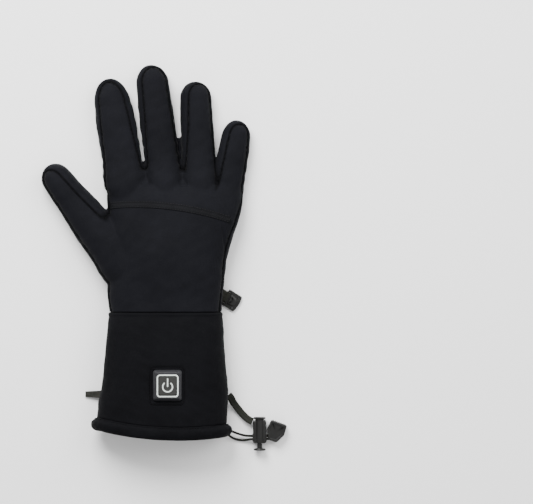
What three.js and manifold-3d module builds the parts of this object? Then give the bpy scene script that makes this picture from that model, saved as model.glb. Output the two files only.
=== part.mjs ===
// A heated glove for the right hand, lying on its palm with its back up.
// Millimetres. +Z is up, the fingers point along +Y, and the thumb is on the -X side.
// The origin is under the middle of the palm, on the surface that the glove lies on.
import * as THREE from "three";
import { mergeVertices } from "three/addons/utils/BufferGeometryUtils.js";
import Module from "manifold-3d";

const wasm = await Module();
wasm.setup();
const { Manifold, Mesh: ManifoldMesh } = wasm;

// Sizes of the cloth
const WALL = 2.6; // softshell, wadding and fleece together
const SEAM_GAP = 0.3; // what separates two sewn pieces
const FLATTENED = 0.9; // how far a round underside is pressed flat by the surface
const TAPE_THICKNESS = 0.7;
const TAPE_WIDTH = 5.6;

// The hand, from the wrist seam to the knuckles
const WRIST_Y = -48;
const PALM_LENGTH = 98;
const PALM_HALF_WIDTH = 54.5;
const PALM_THICKNESS = 33;
const PALM_MIDDLE_SHARE = 0.44; // height of the widest line, as a share of the thickness
// Along the palm: shares of its length, of its half width on either side, and of its thickness.
const PALM_SECTIONS = [
  { along: 0.0, left: 0.83, right: 0.775, thick: 1.0 },
  { along: 0.1, left: 0.855, right: 0.79, thick: 1.0 },
  { along: 0.22, left: 0.85, right: 0.815, thick: 1.02 },
  { along: 0.4, left: 0.8, right: 0.85, thick: 1.03 },
  { along: 0.58, left: 0.81, right: 0.945, thick: 1.0 },
  { along: 0.76, left: 0.845, right: 1.045, thick: 0.9 },
  { along: 0.93, left: 0.87, right: 1.08, thick: 0.74 },
  { along: 1.0, left: 0.86, right: 1.06, thick: 0.58 },
];

// Each digit: the middle of its root, how far it leans towards the thumb, its length from root to tip,
// the length of its rounded end, and the share of its length at which the strips beside it start.
const DIGITS = [
  { name: "index", rootX: -34.6, rootY: 66, lean: 7.5, length: 67.5,
    halfWidth: 15.4, thickness: 20.5, tipRound: 21, foot: -0.28 },
  { name: "middle", rootX: -3.2, rootY: 65, lean: 7.3, length: 79.5,
    halfWidth: 14, thickness: 21, tipRound: 15.5, foot: -0.28 },
  { name: "ring", rootX: 24.6, rootY: 65, lean: 2.4, length: 67,
    halfWidth: 12.5, thickness: 20, tipRound: 13.5, foot: -0.28 },
  { name: "little", rootX: 46.6, rootY: 49, lean: -9.2, length: 52.5,
    halfWidth: 12.6, thickness: 18.5, tipRound: 13, foot: -0.28 },
  { name: "thumb", rootX: -32.9, rootY: -13, lean: 38, length: 98.3,
    halfWidth: 18.7, thickness: 29, tipRound: 13, foot: 0.3 },
];
// Along a finger: shares of its length from the root, which runs back into the palm, of its half width
// and of its thickness.
const FINGER_SECTIONS = [
  { along: -0.5, width: 1.04, thick: 1.2 },
  { along: -0.16, width: 1.1, thick: 1.18 },
  { along: 0.0, width: 1.0, thick: 1.08 },
  { along: 0.3, width: 1.0, thick: 1.0 },
  { along: 0.6, width: 0.98, thick: 0.95 },
];
const THUMB_SECTIONS = [
  { along: 0.0, width: 1.03, thick: 1.0 },
  { along: 0.22, width: 0.93, thick: 0.95 },
  { along: 0.48, width: 0.83, thick: 0.83 },
  { along: 0.68, width: 0.71, thick: 0.74 },
];
const TIP_WIDTH_SHARE = { finger: 0.93, thumb: 0.63 };
const TIP_THICK_SHARE = { finger: 0.88, thumb: 0.7 };
const DIGIT_MIDDLE_SHARE = 0.43;
const ROUND_ABOVE = 2.3; // 2 would be an ellipse, and more is squarer
const ROUND_BELOW = 2.9;
const DIGIT_SIDES = 14;
const PALM_SIDES = 24;
const TIP_RINGS = [90, 66, 42, 18]; // degrees round the quarter turn of a fingertip
const INSIDE_DIGIT_SIDES = 10; // the inside of the cloth has plainer faces
const INSIDE_PALM_SIDES = 18;
const INSIDE_TIP_RINGS = [90, 55, 20];

// The seams that part the back, the side strips and the palm: heights above the surface along the hand.
const BACK_SEAM = [
  { y: 170, z: 14 },
  { y: 60, z: 15 },
  { y: 15, z: 18 },
  { y: -70, z: 19 },
];
const PALM_SEAM = [
  { y: 170, z: 4.2 },
  { y: 60, z: 4.4 },
  { y: -70, z: 5.4 },
];
const SEAM_STANDS_CLEAR = 30; // how far the cutting shapes run past the glove

// The knuckle seam and its tape: an arc across the back, highest over the middle finger
const KNUCKLE_ARC_X = -14;
const KNUCKLE_ARC_Y = 35.2;
const KNUCKLE_ARC_RADIUS = 235;
const KNUCKLE_TURN = 2.6; // degrees, towards the little finger
const KNUCKLE_SWEEP = { thumbSide: 8.9, littleSide: 24 }; // degrees of the arc on either side
const KNUCKLE_PAST = 150; // reaches past the fingertips

// Pads that work a touch screen: how long each is, back from the tip
const TOUCH_PAD_LENGTH = { index: 29, thumb: 31 };

// The cuff and its hem
const CUFF_LENGTH = 84.1;
const CUFF_HALF_WIDTH = 44;
const CUFF_THICKNESS = 37;
const CUFF_MIDDLE_SHARE = 0.42;
const CUFF_SIDES = 28;
const INSIDE_CUFF_SIDES = 20;
const CUFF_SECTIONS = [
  { along: 0.0, width: 1.0, shift: 0.0, thick: 0.9, lift: 0.0 },
  { along: 0.08, width: 1.02, shift: 0.0, thick: 0.95, lift: 0.0 },
  { along: 0.33, width: 1.055, shift: 0.0, thick: 1.03, lift: 0.5 },
  { along: 0.56, width: 1.09, shift: 0.0, thick: 1.06, lift: 1.0 },
  { along: 0.72, width: 1.12, shift: -0.011, thick: 1.08, lift: 1.0 },
  { along: 0.85, width: 1.143, shift: -0.045, thick: 1.1, lift: 1.0 },
  { along: 1.0, width: 1.15, shift: -0.068, thick: 1.1, lift: 1.0 },
];
const CUFF_CENTRE_X = -1.2;
const CUFF_LIFT = 1.4; // room under the cuff for the zip
const HEM_LENGTH = 10.3;
const HEM_STANDS_PROUD = 4.4;
const HEM_PROUD_ABOVE = 2.3;
const HEM_DIP = 4.6; // how far the hem's middle hangs below its sides
const HEM_TURN = 2.4; // degrees, the little finger's side lower
const HEM_SECTIONS = [
  { along: 0.0, proud: 0.0 },
  { along: 0.16, proud: 0.6 },
  { along: 0.5, proud: 1.0 },
  { along: 0.84, proud: 0.8 },
  { along: 1.0, proud: 0.4 },
];

// The power switch on the cuff's back
const SWITCH_X = 0.8;
const SWITCH_Y = -105;
const SWITCH_WIDTH = 22.6;
const SWITCH_LENGTH = 24.4;
const SWITCH_HEIGHT = 5.2;
const SWITCH_TURN = 3; // degrees, leaning towards the little finger
const SWITCH_SUNK = 0.9; // how far its foot lies in the cloth
const SWITCH_BEVEL = 2.2;
const SWITCH_CORNER = 3;
const CAP_WIDTH = 14.4;
const CAP_LENGTH = 15;
const CAP_THICKNESS = 1.6;
const CAP_CORNER = 1.6;
const CAP_CLEARANCE = 0.3;
const CAP_SUNK = 0.4; // below the housing's top
const CAP_TRAVEL = 0.6;
const LIP_WIDTH = 0.3; // of the housing, between the cap and the outline
const OUTLINE_WIDTH = 1.5;
const OUTLINE_HEIGHT = 0.6;
const MARK_RADIUS = 3.9;
const MARK_STROKE = 1.3;
const MARK_HEIGHT = 0.4;
const MARK_GAP = 34; // degrees on each side of the bar
const MARK_BAR_LENGTH = 6.6;
const MARK_BELOW_MIDDLE = 0.8;
const INLAY_CLEARANCE = 0.05;

// The zip of the battery pocket, under the cuff
const ZIP_Y = -113;
const ZIP_LEFT_X = -47;
const ZIP_RIGHT_X = 43;
const ZIP_WIDTH = 6.4;
const ZIP_THICKNESS = 1.2;
const ZIP_SUNK = 0.2; // above the cuff's outer face
const ZIP_STATIONS = 18;
const SLIDER_X = -41.5;
const SLIDER_LENGTH = 7.6;
const SLIDER_WIDTH = 6.2;
const SLIDER_HEIGHT = 1.9;
const SLIDER_CORNER = 1.4;
const SLIDER_GAP = 0.3; // between the zip and its slider
const EAR_WIDTH = 1;
const EAR_END = 1.1; // from the pin's axis to the end of the ears
const EAR_OVERLAP = 3;
const PIN_RADIUS = 0.66;
const PULLER_LENGTH = 17.5;
const PULLER_ROOT_WIDTH = 6;
const PULLER_END_WIDTH = 4.4;
const PULLER_THICKNESS = 1.4;
const EYE_WALL = 0.7;
const PULLER_SHOULDER = 2.2; // from the eye to its full width
const PULLER_RESTS_AT = 0.25;
const PIN_CLEARANCE = 0.15;
const PIVOT_CLEARANCE = 0.35;

// The clip on its webbing, at the wrist on the little finger's side
const CLIP_Y = -35.5;
const CLIP_TURN = -32; // degrees
const WEBBING_WIDTH = 9;
const WEBBING_THICKNESS = 1.4;
const WEBBING_LENGTH = 9;
const WEBBING_PAST_SLOT = 0.4;
const WEBBING_INSIDE = 2.4; // how far its root runs back, up to the cloth
// Along the webbing, from the glove's side to the clip: shares of its length and of its rise
const WEBBING_RISE = 5;
const WEBBING_ROWS = [
  { along: 0.05, up: 1.0 },
  { along: 0.4, up: 0.48 },
  { along: 0.7, up: 0.12 },
  { along: 1.0, up: 0.06 },
];
const CLIP_LENGTH = 12.6;
const CLIP_WIDTH = 13.4;
const CLIP_THICKNESS = 2.6;
const CLIP_HOLE_RADIUS = 0.75;
const CLIP_HOLE_INSET = 1.9;
const CLIP_BULGE = 1.2; // of its outer edge
const CLIP_TONGUE_WIDTH = 7.6;
const CLIP_TONGUE_STRAIGHT = 2.6;
const CLIP_TONGUE_FROM = 3.8;
const CLIP_TONGUE_BEVEL = 0.6;
const CLIP_ABOVE_GROUND = 0.1;
const CLIP_SLOT = 2.2;
const CLIP_TONGUE_HEIGHT = 2.2;

// The drawcord's lock, its strap, its cords and their end piece
const LOCK_X = 72.2;
const LOCK_TOP_Y = -130.6;
const LOCK_LENGTH = 20.6;
const LOCK_RADIUS = 3.5;
const LOCK_FLANGE_WIDTH = 10.4;
const LOCK_FLANGE_THICKNESS = 4.4;
const LOCK_DISC_RADIUS = 4.75;
const LOCK_DISC_THICKNESS = 1.6;
const LOCK_AXIS_Z = 4.85;
const LOCK_BORE_RADIUS = 2.35;
const PLUNGER_RADIUS = 2.0;
const PLUNGER_TRAVEL = 2.4;
const PLUNGER_NECK = 4.2; // from the lock's end to the plunger's head
const BORE_DEPTH = 14.8;
const SPRING_ROOM = 0.6; // left above the plunger when it is pressed
const CORD_DIAMETER = 1.9;
const CORD_PITCH = 2.3; // the two cords lie side by side
const CORD_CLEARANCE = 0.3;
const CORD_PASSAGE_FROM_END = 4.4;
const STRAP_WIDTH = 5.6;
const STRAP_THICKNESS = 1.3;
const STRAP_SLOT_DEPTH = 1.8; // in the lock's flange
const STRAP_SLOT_FROM_TOP = 3.6;
const STRAP_CLEARANCE = 0.6;
const CORD_END_LENGTH = 15.4;
const CORD_END_WIDTH = 14.4;
const CORD_END_NARROW = 6.6;
const CORD_END_THICKNESS = 7.6;
const CORD_END_BEVEL = 0.8;
const CORD_END_TAPER = 0.6;
const CORD_END_SHOULDER = 7.4; // from the cords to its widest line
const CORD_END_X = 82.2;
const CORD_END_Y = -149.6;
const CORD_END_TURN = -20; // degrees

// Routes of the strap and of the two cords, chosen by hand: x, y, z
const STRAP_ROUTE = [
  [48.1, -113.4, 9.7],
  [49.3, -114.8, 8.7],
  [50.4, -116.6, 7.2],
  [51.3, -118.7, 5.4],
  [53.2, -121.5, 3.9],
  [55.6, -124.7, 2.9],
  [58.3, -128.0, 2.8],
  [61.2, -130.9, 3.4],
  [64.0, -133.0, 4.3],
  [66.6, -134.3, 4.8],
];
const CORD_ROUTES = {
  hem_cord_upper: [
    [48.9, -140.9, 8.9],
    [50.4, -141.7, 8.2],
    [52.2, -142.5, 7.0],
    [54.2, -143.3, 5.6],
    [56.4, -144.1, 4.5],
    [58.8, -144.8, 3.9],
    [61.4, -145.3, 3.9],
    [64.0, -145.5, 4.3],
    [66.6, -145.6, 4.7],
    [69.2, -145.6, 4.85],
    [71.8, -145.6, 4.85],
    [74.4, -145.6, 4.85],
    [77.0, -145.6, 4.8],
    [79.4, -145.5, 4.6],
    [81.8, -145.1, 4.3],
    [84.0, -144.4, 4.1],
  ],
  hem_cord_lower: [
    [46.2, -143.2, 6.6],
    [47.5, -144.4, 5.6],
    [49.0, -145.7, 4.2],
    [50.9, -147.0, 2.7],
    [53.3, -148.1, 1.6],
    [56.1, -148.8, 1.2],
    [59.1, -149.0, 1.5],
    [62.0, -148.7, 2.5],
    [64.7, -148.2, 3.8],
    [67.2, -147.9, 4.7],
    [69.8, -147.9, 4.85],
    [72.4, -147.9, 4.85],
    [75.0, -147.9, 4.85],
    [77.6, -147.9, 4.75],
    [80.2, -147.7, 4.5],
    [82.8, -147.1, 4.2],
  ],
};
const CORD_SIDES = 8;
const CORD_STEP = 3.2;

// A hollow's cutting shape runs this far past the open end that it makes.
const OPEN_PAST = 2;
const ARC_SEGMENTS = 3; // along each quarter or half turn of a small plate's outline

const degrees = THREE.MathUtils.degToRad;

// Reads a value off a table at a place between its rows.
function between(rows, key, value, at) {
  const last = rows.length - 1;
  const rising = rows[last][key] > rows[0][key];
  const t = rising ? at : -at;
  const place = (row) => (rising ? row[key] : -row[key]);
  if (t <= place(rows[0])) return rows[0][value];
  for (let i = 0; i < last; i++) {
    const low = place(rows[i]);
    const high = place(rows[i + 1]);
    if (t <= high) {
      return rows[i][value] + ((rows[i + 1][value] - rows[i][value]) * (t - low)) / (high - low);
    }
  }
  return rows[last][value];
}

// A rounded cross-section: full above, flatter below, and pressed flat on the surface.
function section({ left, right, top, bottom, middle, sides, floor }) {
  const points = [];
  for (let i = 0; i < sides; i++) {
    const turn = ((i + 0.5) / sides) * Math.PI * 2;
    const cos = Math.cos(turn);
    const sin = Math.sin(turn);
    const power = 2 / (sin > 0 ? ROUND_ABOVE : ROUND_BELOW);
    const across = Math.sign(cos) * Math.abs(cos) ** power * (cos > 0 ? right : left);
    const up = Math.abs(sin) ** power * (sin > 0 ? top - middle : -(middle - bottom));
    points.push([across, Math.max(floor, middle + up)]);
  }
  return points;
}

// A closed solid through rings of the same number of points.
function loft(rings) {
  const count = rings[0].length;
  const points = rings.flat();
  const faces = [];
  for (let r = 0; r < rings.length - 1; r++) {
    for (let i = 0; i < count; i++) {
      const a = r * count + i;
      const b = r * count + ((i + 1) % count);
      faces.push(a, b, b + count, a, b + count, a + count);
    }
  }
  for (const [ring, way] of [[0, -1], [rings.length - 1, 1]]) {
    const centre = new THREE.Vector3();
    rings[ring].forEach((p) => centre.add(p));
    points.push(centre.divideScalar(count));
    for (let i = 0; i < count; i++) {
      const a = ring * count + i;
      const b = ring * count + ((i + 1) % count);
      faces.push(...(way > 0 ? [a, b, points.length - 1] : [b, a, points.length - 1]));
    }
  }
  const geometry = new THREE.BufferGeometry().setFromPoints(points);
  geometry.setIndex(faces);
  return geometry;
}

// A three.js geometry as a solid that can be joined and cut.
function solid(geometry, matrix) {
  const plain = geometry.clone();
  for (const name of Object.keys(plain.attributes)) {
    if (name !== "position") plain.deleteAttribute(name);
  }
  if (matrix) plain.applyMatrix4(matrix);
  const merged = mergeVertices(plain, 1e-4);
  const made = new Manifold(
    new ManifoldMesh({
      numProp: 3,
      vertProperties: merged.attributes.position.array,
      triVerts: new Uint32Array(merged.index.array),
    }),
  );
  if (made.volume() > 0) return made;
  const turned = merged.index.array.slice();
  for (let i = 0; i < turned.length; i += 3) {
    [turned[i + 1], turned[i + 2]] = [turned[i + 2], turned[i + 1]];
  }
  return new Manifold(
    new ManifoldMesh({
      numProp: 3,
      vertProperties: merged.attributes.position.array,
      triVerts: new Uint32Array(turned),
    }),
  );
}

function geometryOf(made) {
  const mesh = made.getMesh();
  const geometry = new THREE.BufferGeometry();
  geometry.setAttribute("position", new THREE.BufferAttribute(mesh.vertProperties, mesh.numProp));
  geometry.setIndex(new THREE.BufferAttribute(mesh.triVerts, 1));
  geometry.computeVertexNormals();
  return geometry;
}

// The one with the most cloth, of what a cut leaves
function largest(made) {
  const pieces = made.decompose();
  return pieces.reduce((best, piece) => (piece.volume() > best.volume() ? piece : best), pieces[0]);
}

const placed = (x, y, z, turn = 0, tilt = 0) =>
  new THREE.Matrix4().compose(
    new THREE.Vector3(x, y, z),
    new THREE.Quaternion().setFromEuler(new THREE.Euler(0, degrees(tilt), degrees(turn), "ZYX")),
    new THREE.Vector3(1, 1, 1),
  );

const box = (x, y, z, matrix) => solid(new THREE.BoxGeometry(x, y, z), matrix);

// A flat outline pushed up by a height, with its edges taken off by a bevel.
function plate(shape, height, matrix, bevel = 0) {
  const geometry = new THREE.ExtrudeGeometry(shape, {
    depth: height - 2 * bevel,
    curveSegments: ARC_SEGMENTS,
    bevelEnabled: bevel > 0,
    bevelSegments: 1,
    bevelThickness: bevel,
    bevelSize: bevel,
    bevelOffset: -bevel,
  });
  geometry.translate(0, 0, bevel);
  return solid(geometry, matrix);
}

function roundedRectangle(width, length, radius) {
  const x = width / 2;
  const y = length / 2;
  const shape = new THREE.Shape();
  shape.moveTo(-x + radius, -y);
  shape.lineTo(x - radius, -y).absarc(x - radius, -y + radius, radius, -Math.PI / 2, 0);
  shape.lineTo(x, y - radius).absarc(x - radius, y - radius, radius, 0, Math.PI / 2);
  shape.lineTo(-x + radius, y).absarc(-x + radius, y - radius, radius, Math.PI / 2, Math.PI);
  shape.lineTo(-x, -y + radius).absarc(-x + radius, -y + radius, radius, Math.PI, Math.PI * 1.5);
  return shape;
}

// One digit, grown by an offset or shrunk by a negative one.
function digit(d, grow) {
  const kind = d.name === "thumb" ? "thumb" : "finger";
  const rows = kind === "thumb" ? THUMB_SECTIONS : FINGER_SECTIONS;
  const lean = degrees(d.lean);
  const along = new THREE.Vector2(-Math.sin(lean), Math.cos(lean));
  const across = new THREE.Vector2(along.y, -along.x);
  // A ring across the digit, drawn in towards its middle line by a share.
  const ring = (distance, half, thickness, share) => {
    const middle = thickness * DIGIT_MIDDLE_SHARE;
    const points = section({
      left: (half + grow) * share,
      right: (half + grow) * share,
      top: middle + (thickness + grow - middle) * share,
      bottom: middle - (middle + FLATTENED + grow) * share,
      middle,
      sides: grow < 0 ? INSIDE_DIGIT_SIDES : DIGIT_SIDES,
      floor: -grow,
    });
    const centre = new THREE.Vector2(d.rootX, d.rootY).addScaledVector(along, distance);
    return points.map(([a, z]) => new THREE.Vector3(centre.x + across.x * a, centre.y + across.y * a, z));
  };
  const rings = rows.map((row) =>
    ring(row.along * d.length, row.width * d.halfWidth, row.thick * d.thickness, 1),
  );
  const tipHalf = TIP_WIDTH_SHARE[kind] * d.halfWidth;
  const tipThickness = TIP_THICK_SHARE[kind] * d.thickness;
  for (const turn of (grow < 0 ? INSIDE_TIP_RINGS : TIP_RINGS).map(degrees)) {
    const reach = d.length - d.tipRound + (d.tipRound + grow) * Math.cos(turn);
    rings.push(ring(reach, tipHalf, tipThickness, Math.sin(turn)));
  }
  return solid(loft(rings));
}

// The hand from the wrist to the knuckles, grown by an offset.
function palm(grow) {
  const rings = PALM_SECTIONS.map((row, i) => {
    const thickness = row.thick * PALM_THICKNESS;
    const open = i === 0 && grow < 0 ? OPEN_PAST : 0;
    const points = section({
      left: row.left * PALM_HALF_WIDTH + grow,
      right: row.right * PALM_HALF_WIDTH + grow,
      top: thickness + grow,
      bottom: -FLATTENED - grow,
      middle: thickness * PALM_MIDDLE_SHARE,
      sides: grow < 0 ? INSIDE_PALM_SIDES : PALM_SIDES,
      floor: -grow,
    });
    const y = WRIST_Y + row.along * PALM_LENGTH - open;
    return points.map(([x, z]) => new THREE.Vector3(x, y, z));
  });
  return solid(loft(rings));
}

const hand = (grow) => Manifold.union([palm(grow), ...DIGITS.map((d) => digit(d, grow))]);

// Everything above (or below) a seam's heights, run out along X past the glove.
function beyondSeam(rows, side, gap) {
  const far = side > 0 ? PALM_THICKNESS * 2 : -SEAM_STANDS_CLEAR;
  const shape = new THREE.Shape();
  rows.forEach((row, i) => {
    const z = row.z + side * gap;
    if (i === 0) shape.moveTo(row.y, z);
    else shape.lineTo(row.y, z);
  });
  shape.lineTo(rows[rows.length - 1].y, far);
  shape.lineTo(rows[0].y, far);
  const width = 4 * PALM_HALF_WIDTH + 2 * SEAM_STANDS_CLEAR;
  const geometry = new THREE.ExtrudeGeometry(shape, { depth: width, bevelEnabled: false });
  // The shape's x is the glove's Y and its y is the glove's Z.
  const turned = new THREE.Matrix4().makeBasis(
    new THREE.Vector3(0, 1, 0),
    new THREE.Vector3(0, 0, 1),
    new THREE.Vector3(1, 0, 0),
  );
  geometry.applyMatrix4(turned);
  geometry.translate(-width / 2, 0, 0);
  return solid(geometry);
}

// A prism over the plan between two digits, from tip to tip by way of the web.
function betweenDigits(first, second, gap) {
  const axis = (d, distance, sideways) => {
    const lean = degrees(d.lean);
    return new THREE.Vector2(
      d.rootX - Math.sin(lean) * distance + Math.cos(lean) * sideways,
      d.rootY + Math.cos(lean) * distance + Math.sin(lean) * sideways,
    );
  };
  const reach = SEAM_STANDS_CLEAR;
  const shape = new THREE.Shape([
    axis(first, first.length + reach, gap),
    axis(first, 0, gap),
    axis(first, first.foot * first.length, gap),
    axis(second, second.foot * second.length, -gap),
    axis(second, 0, -gap),
    axis(second, second.length + reach, -gap),
  ]);
  const geometry = new THREE.ExtrudeGeometry(shape, { depth: PALM_THICKNESS * 3, bevelEnabled: false });
  geometry.translate(0, 0, -PALM_THICKNESS);
  return solid(geometry);
}

// The band of plan along the knuckle arc, between two radii. It stops at the web of the thumb.
function knuckleBand(inner, outer) {
  const right = Math.PI / 2 - degrees(KNUCKLE_SWEEP.littleSide);
  const left = Math.PI / 2 + degrees(KNUCKLE_SWEEP.thumbSide);
  const shape = new THREE.Shape();
  shape.absarc(0, 0, outer, right, left, false);
  shape.absarc(0, 0, inner, left, right, true);
  const geometry = new THREE.ExtrudeGeometry(shape, {
    depth: PALM_THICKNESS * 3,
    curveSegments: 12,
    bevelEnabled: false,
  });
  geometry.translate(0, -KNUCKLE_ARC_RADIUS, -PALM_THICKNESS);
  return solid(geometry, placed(KNUCKLE_ARC_X, KNUCKLE_ARC_Y, 0, -KNUCKLE_TURN));
}

const [INDEX, MIDDLE, RING, LITTLE, THUMB] = DIGITS;
const parts = {};

// The hand's cloth, cut along its seams
const outer = hand(0);
const inner = hand(-WALL);
const shell = outer.subtract(inner);
const aboveBack = beyondSeam(BACK_SEAM, 1, 0);
const belowBack = beyondSeam(BACK_SEAM, 1, -SEAM_GAP);
const belowPalm = beyondSeam(PALM_SEAM, -1, 0);
const abovePalm = beyondSeam(PALM_SEAM, -1, -SEAM_GAP);
const back = shell.intersect(aboveBack);
const pastKnuckles = (gap) =>
  knuckleBand(KNUCKLE_ARC_RADIUS + gap, KNUCKLE_ARC_RADIUS + KNUCKLE_PAST);
parts.back_of_fingers = largest(back.intersect(pastKnuckles(SEAM_GAP / 2)));
parts.back_of_hand = largest(back.subtract(pastKnuckles(-SEAM_GAP / 2)));

const under = shell.intersect(belowPalm);
const strips = shell.subtract(belowBack).subtract(abovePalm);
const sideGap = SEAM_GAP / 2;
const gussets = {
  thumb_gusset: [THUMB, INDEX],
  gusset_index_middle: [INDEX, MIDDLE],
  gusset_middle_ring: [MIDDLE, RING],
  gusset_ring_little: [RING, LITTLE],
};
let outside = strips;
for (const [name, [first, second]] of Object.entries(gussets)) {
  parts[name] = largest(strips.intersect(betweenDigits(first, second, sideGap)));
  outside = outside.subtract(betweenDigits(first, second, -sideGap));
}
const halves = outside.decompose().sort((a, b) => b.volume() - a.volume()).slice(0, 2);
const middleX = (made) => (made.boundingBox().min[0] + made.boundingBox().max[0]) / 2;
halves.sort((a, b) => middleX(a) - middleX(b));
parts.side_thumb = halves[0];
parts.side_little = halves[1];

// The palm and its touch pads
function fingertip(d, length) {
  const lean = degrees(d.lean);
  const from = d.length - length;
  const depth = length + SEAM_STANDS_CLEAR;
  return box(
    d.halfWidth * 2.6,
    depth,
    PALM_THICKNESS * 2,
    placed(
      d.rootX - Math.sin(lean) * (from + depth / 2),
      d.rootY + Math.cos(lean) * (from + depth / 2),
      0,
      d.lean,
    ),
  );
}
let palmPanel = under;
for (const d of [INDEX, THUMB]) {
  const length = TOUCH_PAD_LENGTH[d.name];
  parts["touch_pad_" + d.name] = largest(under.intersect(fingertip(d, length)));
  palmPanel = palmPanel.subtract(fingertip(d, length + SEAM_GAP));
}
parts.palm = largest(palmPanel);

// The tape over the knuckle seam
parts.knuckle_tape = largest(
  hand(SEAM_GAP + TAPE_THICKNESS)
    .subtract(hand(SEAM_GAP))
    .intersect(beyondSeam(BACK_SEAM, 1, 2 * SEAM_GAP))
    .intersect(
      knuckleBand(KNUCKLE_ARC_RADIUS - TAPE_WIDTH / 2, KNUCKLE_ARC_RADIUS + TAPE_WIDTH / 2),
    ),
);

// The cuff: sections from the wrist seam down to the hem
const CUFF_Y = WRIST_Y - SEAM_GAP;
function hemLine(x) {
  const share = Math.min(1, Math.abs(x - CUFF_CENTRE_X) / (CUFF_HALF_WIDTH * 1.15));
  return -HEM_DIP * (1 - share ** 2) - Math.tan(degrees(HEM_TURN)) * (x - CUFF_CENTRE_X);
}
function cuffSection(along, grow) {
  const row = (key) => between(CUFF_SECTIONS, "along", key, along);
  const thickness = row("thick") * CUFF_THICKNESS;
  const lift = row("lift") * CUFF_LIFT;
  const half = row("width") * CUFF_HALF_WIDTH + grow;
  const centre = CUFF_CENTRE_X + row("shift") * CUFF_HALF_WIDTH;
  return section({
    left: half,
    right: half,
    top: lift + thickness + grow,
    bottom: lift - FLATTENED - grow,
    middle: thickness * CUFF_MIDDLE_SHARE,
    sides: grow < 0 ? INSIDE_CUFF_SIDES : CUFF_SIDES,
    floor: lift - grow,
  }).map(([x, z]) => [centre + x, z]);
}
// The hem's own slope comes in along the lower half of the cuff.
const HEM_SLOPE_FROM = 0.34;
function cuffRing(along, grow, past = 0) {
  const blend = Math.max(0, (along - HEM_SLOPE_FROM) / (1 - HEM_SLOPE_FROM));
  return cuffSection(along, grow).map(
    ([x, z]) => new THREE.Vector3(x, CUFF_Y - along * CUFF_LENGTH + blend * hemLine(x) - past, z),
  );
}
const cuffLast = CUFF_SECTIONS.length - 1;
const cuffOuter = solid(loft(CUFF_SECTIONS.map((row) => cuffRing(row.along, 0))));
const cuffInner = solid(
  loft(
    CUFF_SECTIONS.map((row, i) =>
      cuffRing(row.along, -WALL, i === 0 ? -OPEN_PAST : i === cuffLast ? OPEN_PAST : 0),
    ),
  ),
);

// The underside of the cuff at the zip, and a strip that follows it
const zipAlong = (CUFF_Y - ZIP_Y) / CUFF_LENGTH;
function cuffUnderside(x, grow) {
  const points = cuffSection(zipAlong, grow)
    .filter(([, z]) => z < between(CUFF_SECTIONS, "along", "thick", zipAlong) * CUFF_THICKNESS * CUFF_MIDDLE_SHARE)
    .map(([px, z]) => ({ px, z }))
    .sort((a, b) => a.px - b.px);
  return between(points, "px", "z", x);
}
function zipStrip(low, high, width, left, right) {
  const rings = [];
  for (let i = 0; i <= ZIP_STATIONS; i++) {
    const x = left + ((right - left) * i) / ZIP_STATIONS;
    const z = cuffUnderside(x, 0);
    rings.push([
      new THREE.Vector3(x, ZIP_Y - width / 2, z + low),
      new THREE.Vector3(x, ZIP_Y + width / 2, z + low),
      new THREE.Vector3(x, ZIP_Y + width / 2, z + high),
      new THREE.Vector3(x, ZIP_Y - width / 2, z + high),
    ]);
  }
  return solid(loft(rings));
}
const zipWindow = zipStrip(
  -WALL,
  WALL * 2,
  ZIP_WIDTH + 2 * SEAM_GAP,
  ZIP_LEFT_X - SEAM_GAP,
  ZIP_RIGHT_X + SEAM_GAP,
);
parts.zip_tape = zipStrip(ZIP_SUNK, ZIP_SUNK + ZIP_THICKNESS, ZIP_WIDTH, ZIP_LEFT_X, ZIP_RIGHT_X);

// The power switch stands on the cuff's back, leaning a little
function cuffBack(x, y) {
  const along = (CUFF_Y - y) / CUFF_LENGTH;
  const points = cuffSection(along, 0)
    .filter(([, z]) => z > CUFF_THICKNESS * 0.6)
    .map(([px, z]) => ({ px, z }))
    .sort((a, b) => a.px - b.px);
  return between(points, "px", "z", x);
}
const switchFoot = cuffBack(SWITCH_X, SWITCH_Y) - SWITCH_SUNK;
const onSwitch = (height) => placed(SWITCH_X, SWITCH_Y, switchFoot, 0, SWITCH_TURN)
  .multiply(new THREE.Matrix4().makeTranslation(0, 0, height));
const switchPocket = box(
  SWITCH_WIDTH + 2 * SEAM_GAP,
  SWITCH_LENGTH + 2 * SEAM_GAP,
  SWITCH_HEIGHT,
  onSwitch(SWITCH_HEIGHT / 2 - SEAM_GAP),
);
const capTop = SWITCH_HEIGHT - CAP_SUNK;
const capFloor = capTop - CAP_THICKNESS - CAP_TRAVEL - CAP_CLEARANCE;
const outlineFloor = SWITCH_HEIGHT - OUTLINE_HEIGHT / 2;
const capOutline = (grow, height, z) =>
  plate(
    roundedRectangle(CAP_WIDTH + 2 * grow, CAP_LENGTH + 2 * grow, CAP_CORNER + grow),
    height,
    onSwitch(z),
  );
const lip = CAP_CLEARANCE + LIP_WIDTH;
const outlineRing = (clearance, height) =>
  capOutline(lip + OUTLINE_WIDTH + clearance, height, outlineFloor - clearance).subtract(
    capOutline(lip - clearance, 2 * SWITCH_HEIGHT, outlineFloor - SWITCH_HEIGHT),
  );
parts.switch_outline = outlineRing(0, OUTLINE_HEIGHT);
parts.switch_housing = plate(
  roundedRectangle(SWITCH_WIDTH, SWITCH_LENGTH, SWITCH_CORNER),
  SWITCH_HEIGHT + SWITCH_BEVEL,
  onSwitch(-SWITCH_BEVEL),
  SWITCH_BEVEL,
)
  .intersect(box(SWITCH_WIDTH, SWITCH_LENGTH, SWITCH_HEIGHT, onSwitch(SWITCH_HEIGHT / 2)))
  .subtract(capOutline(CAP_CLEARANCE, SWITCH_HEIGHT, capFloor))
  .subtract(outlineRing(INLAY_CLEARANCE, SWITCH_HEIGHT));
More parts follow.
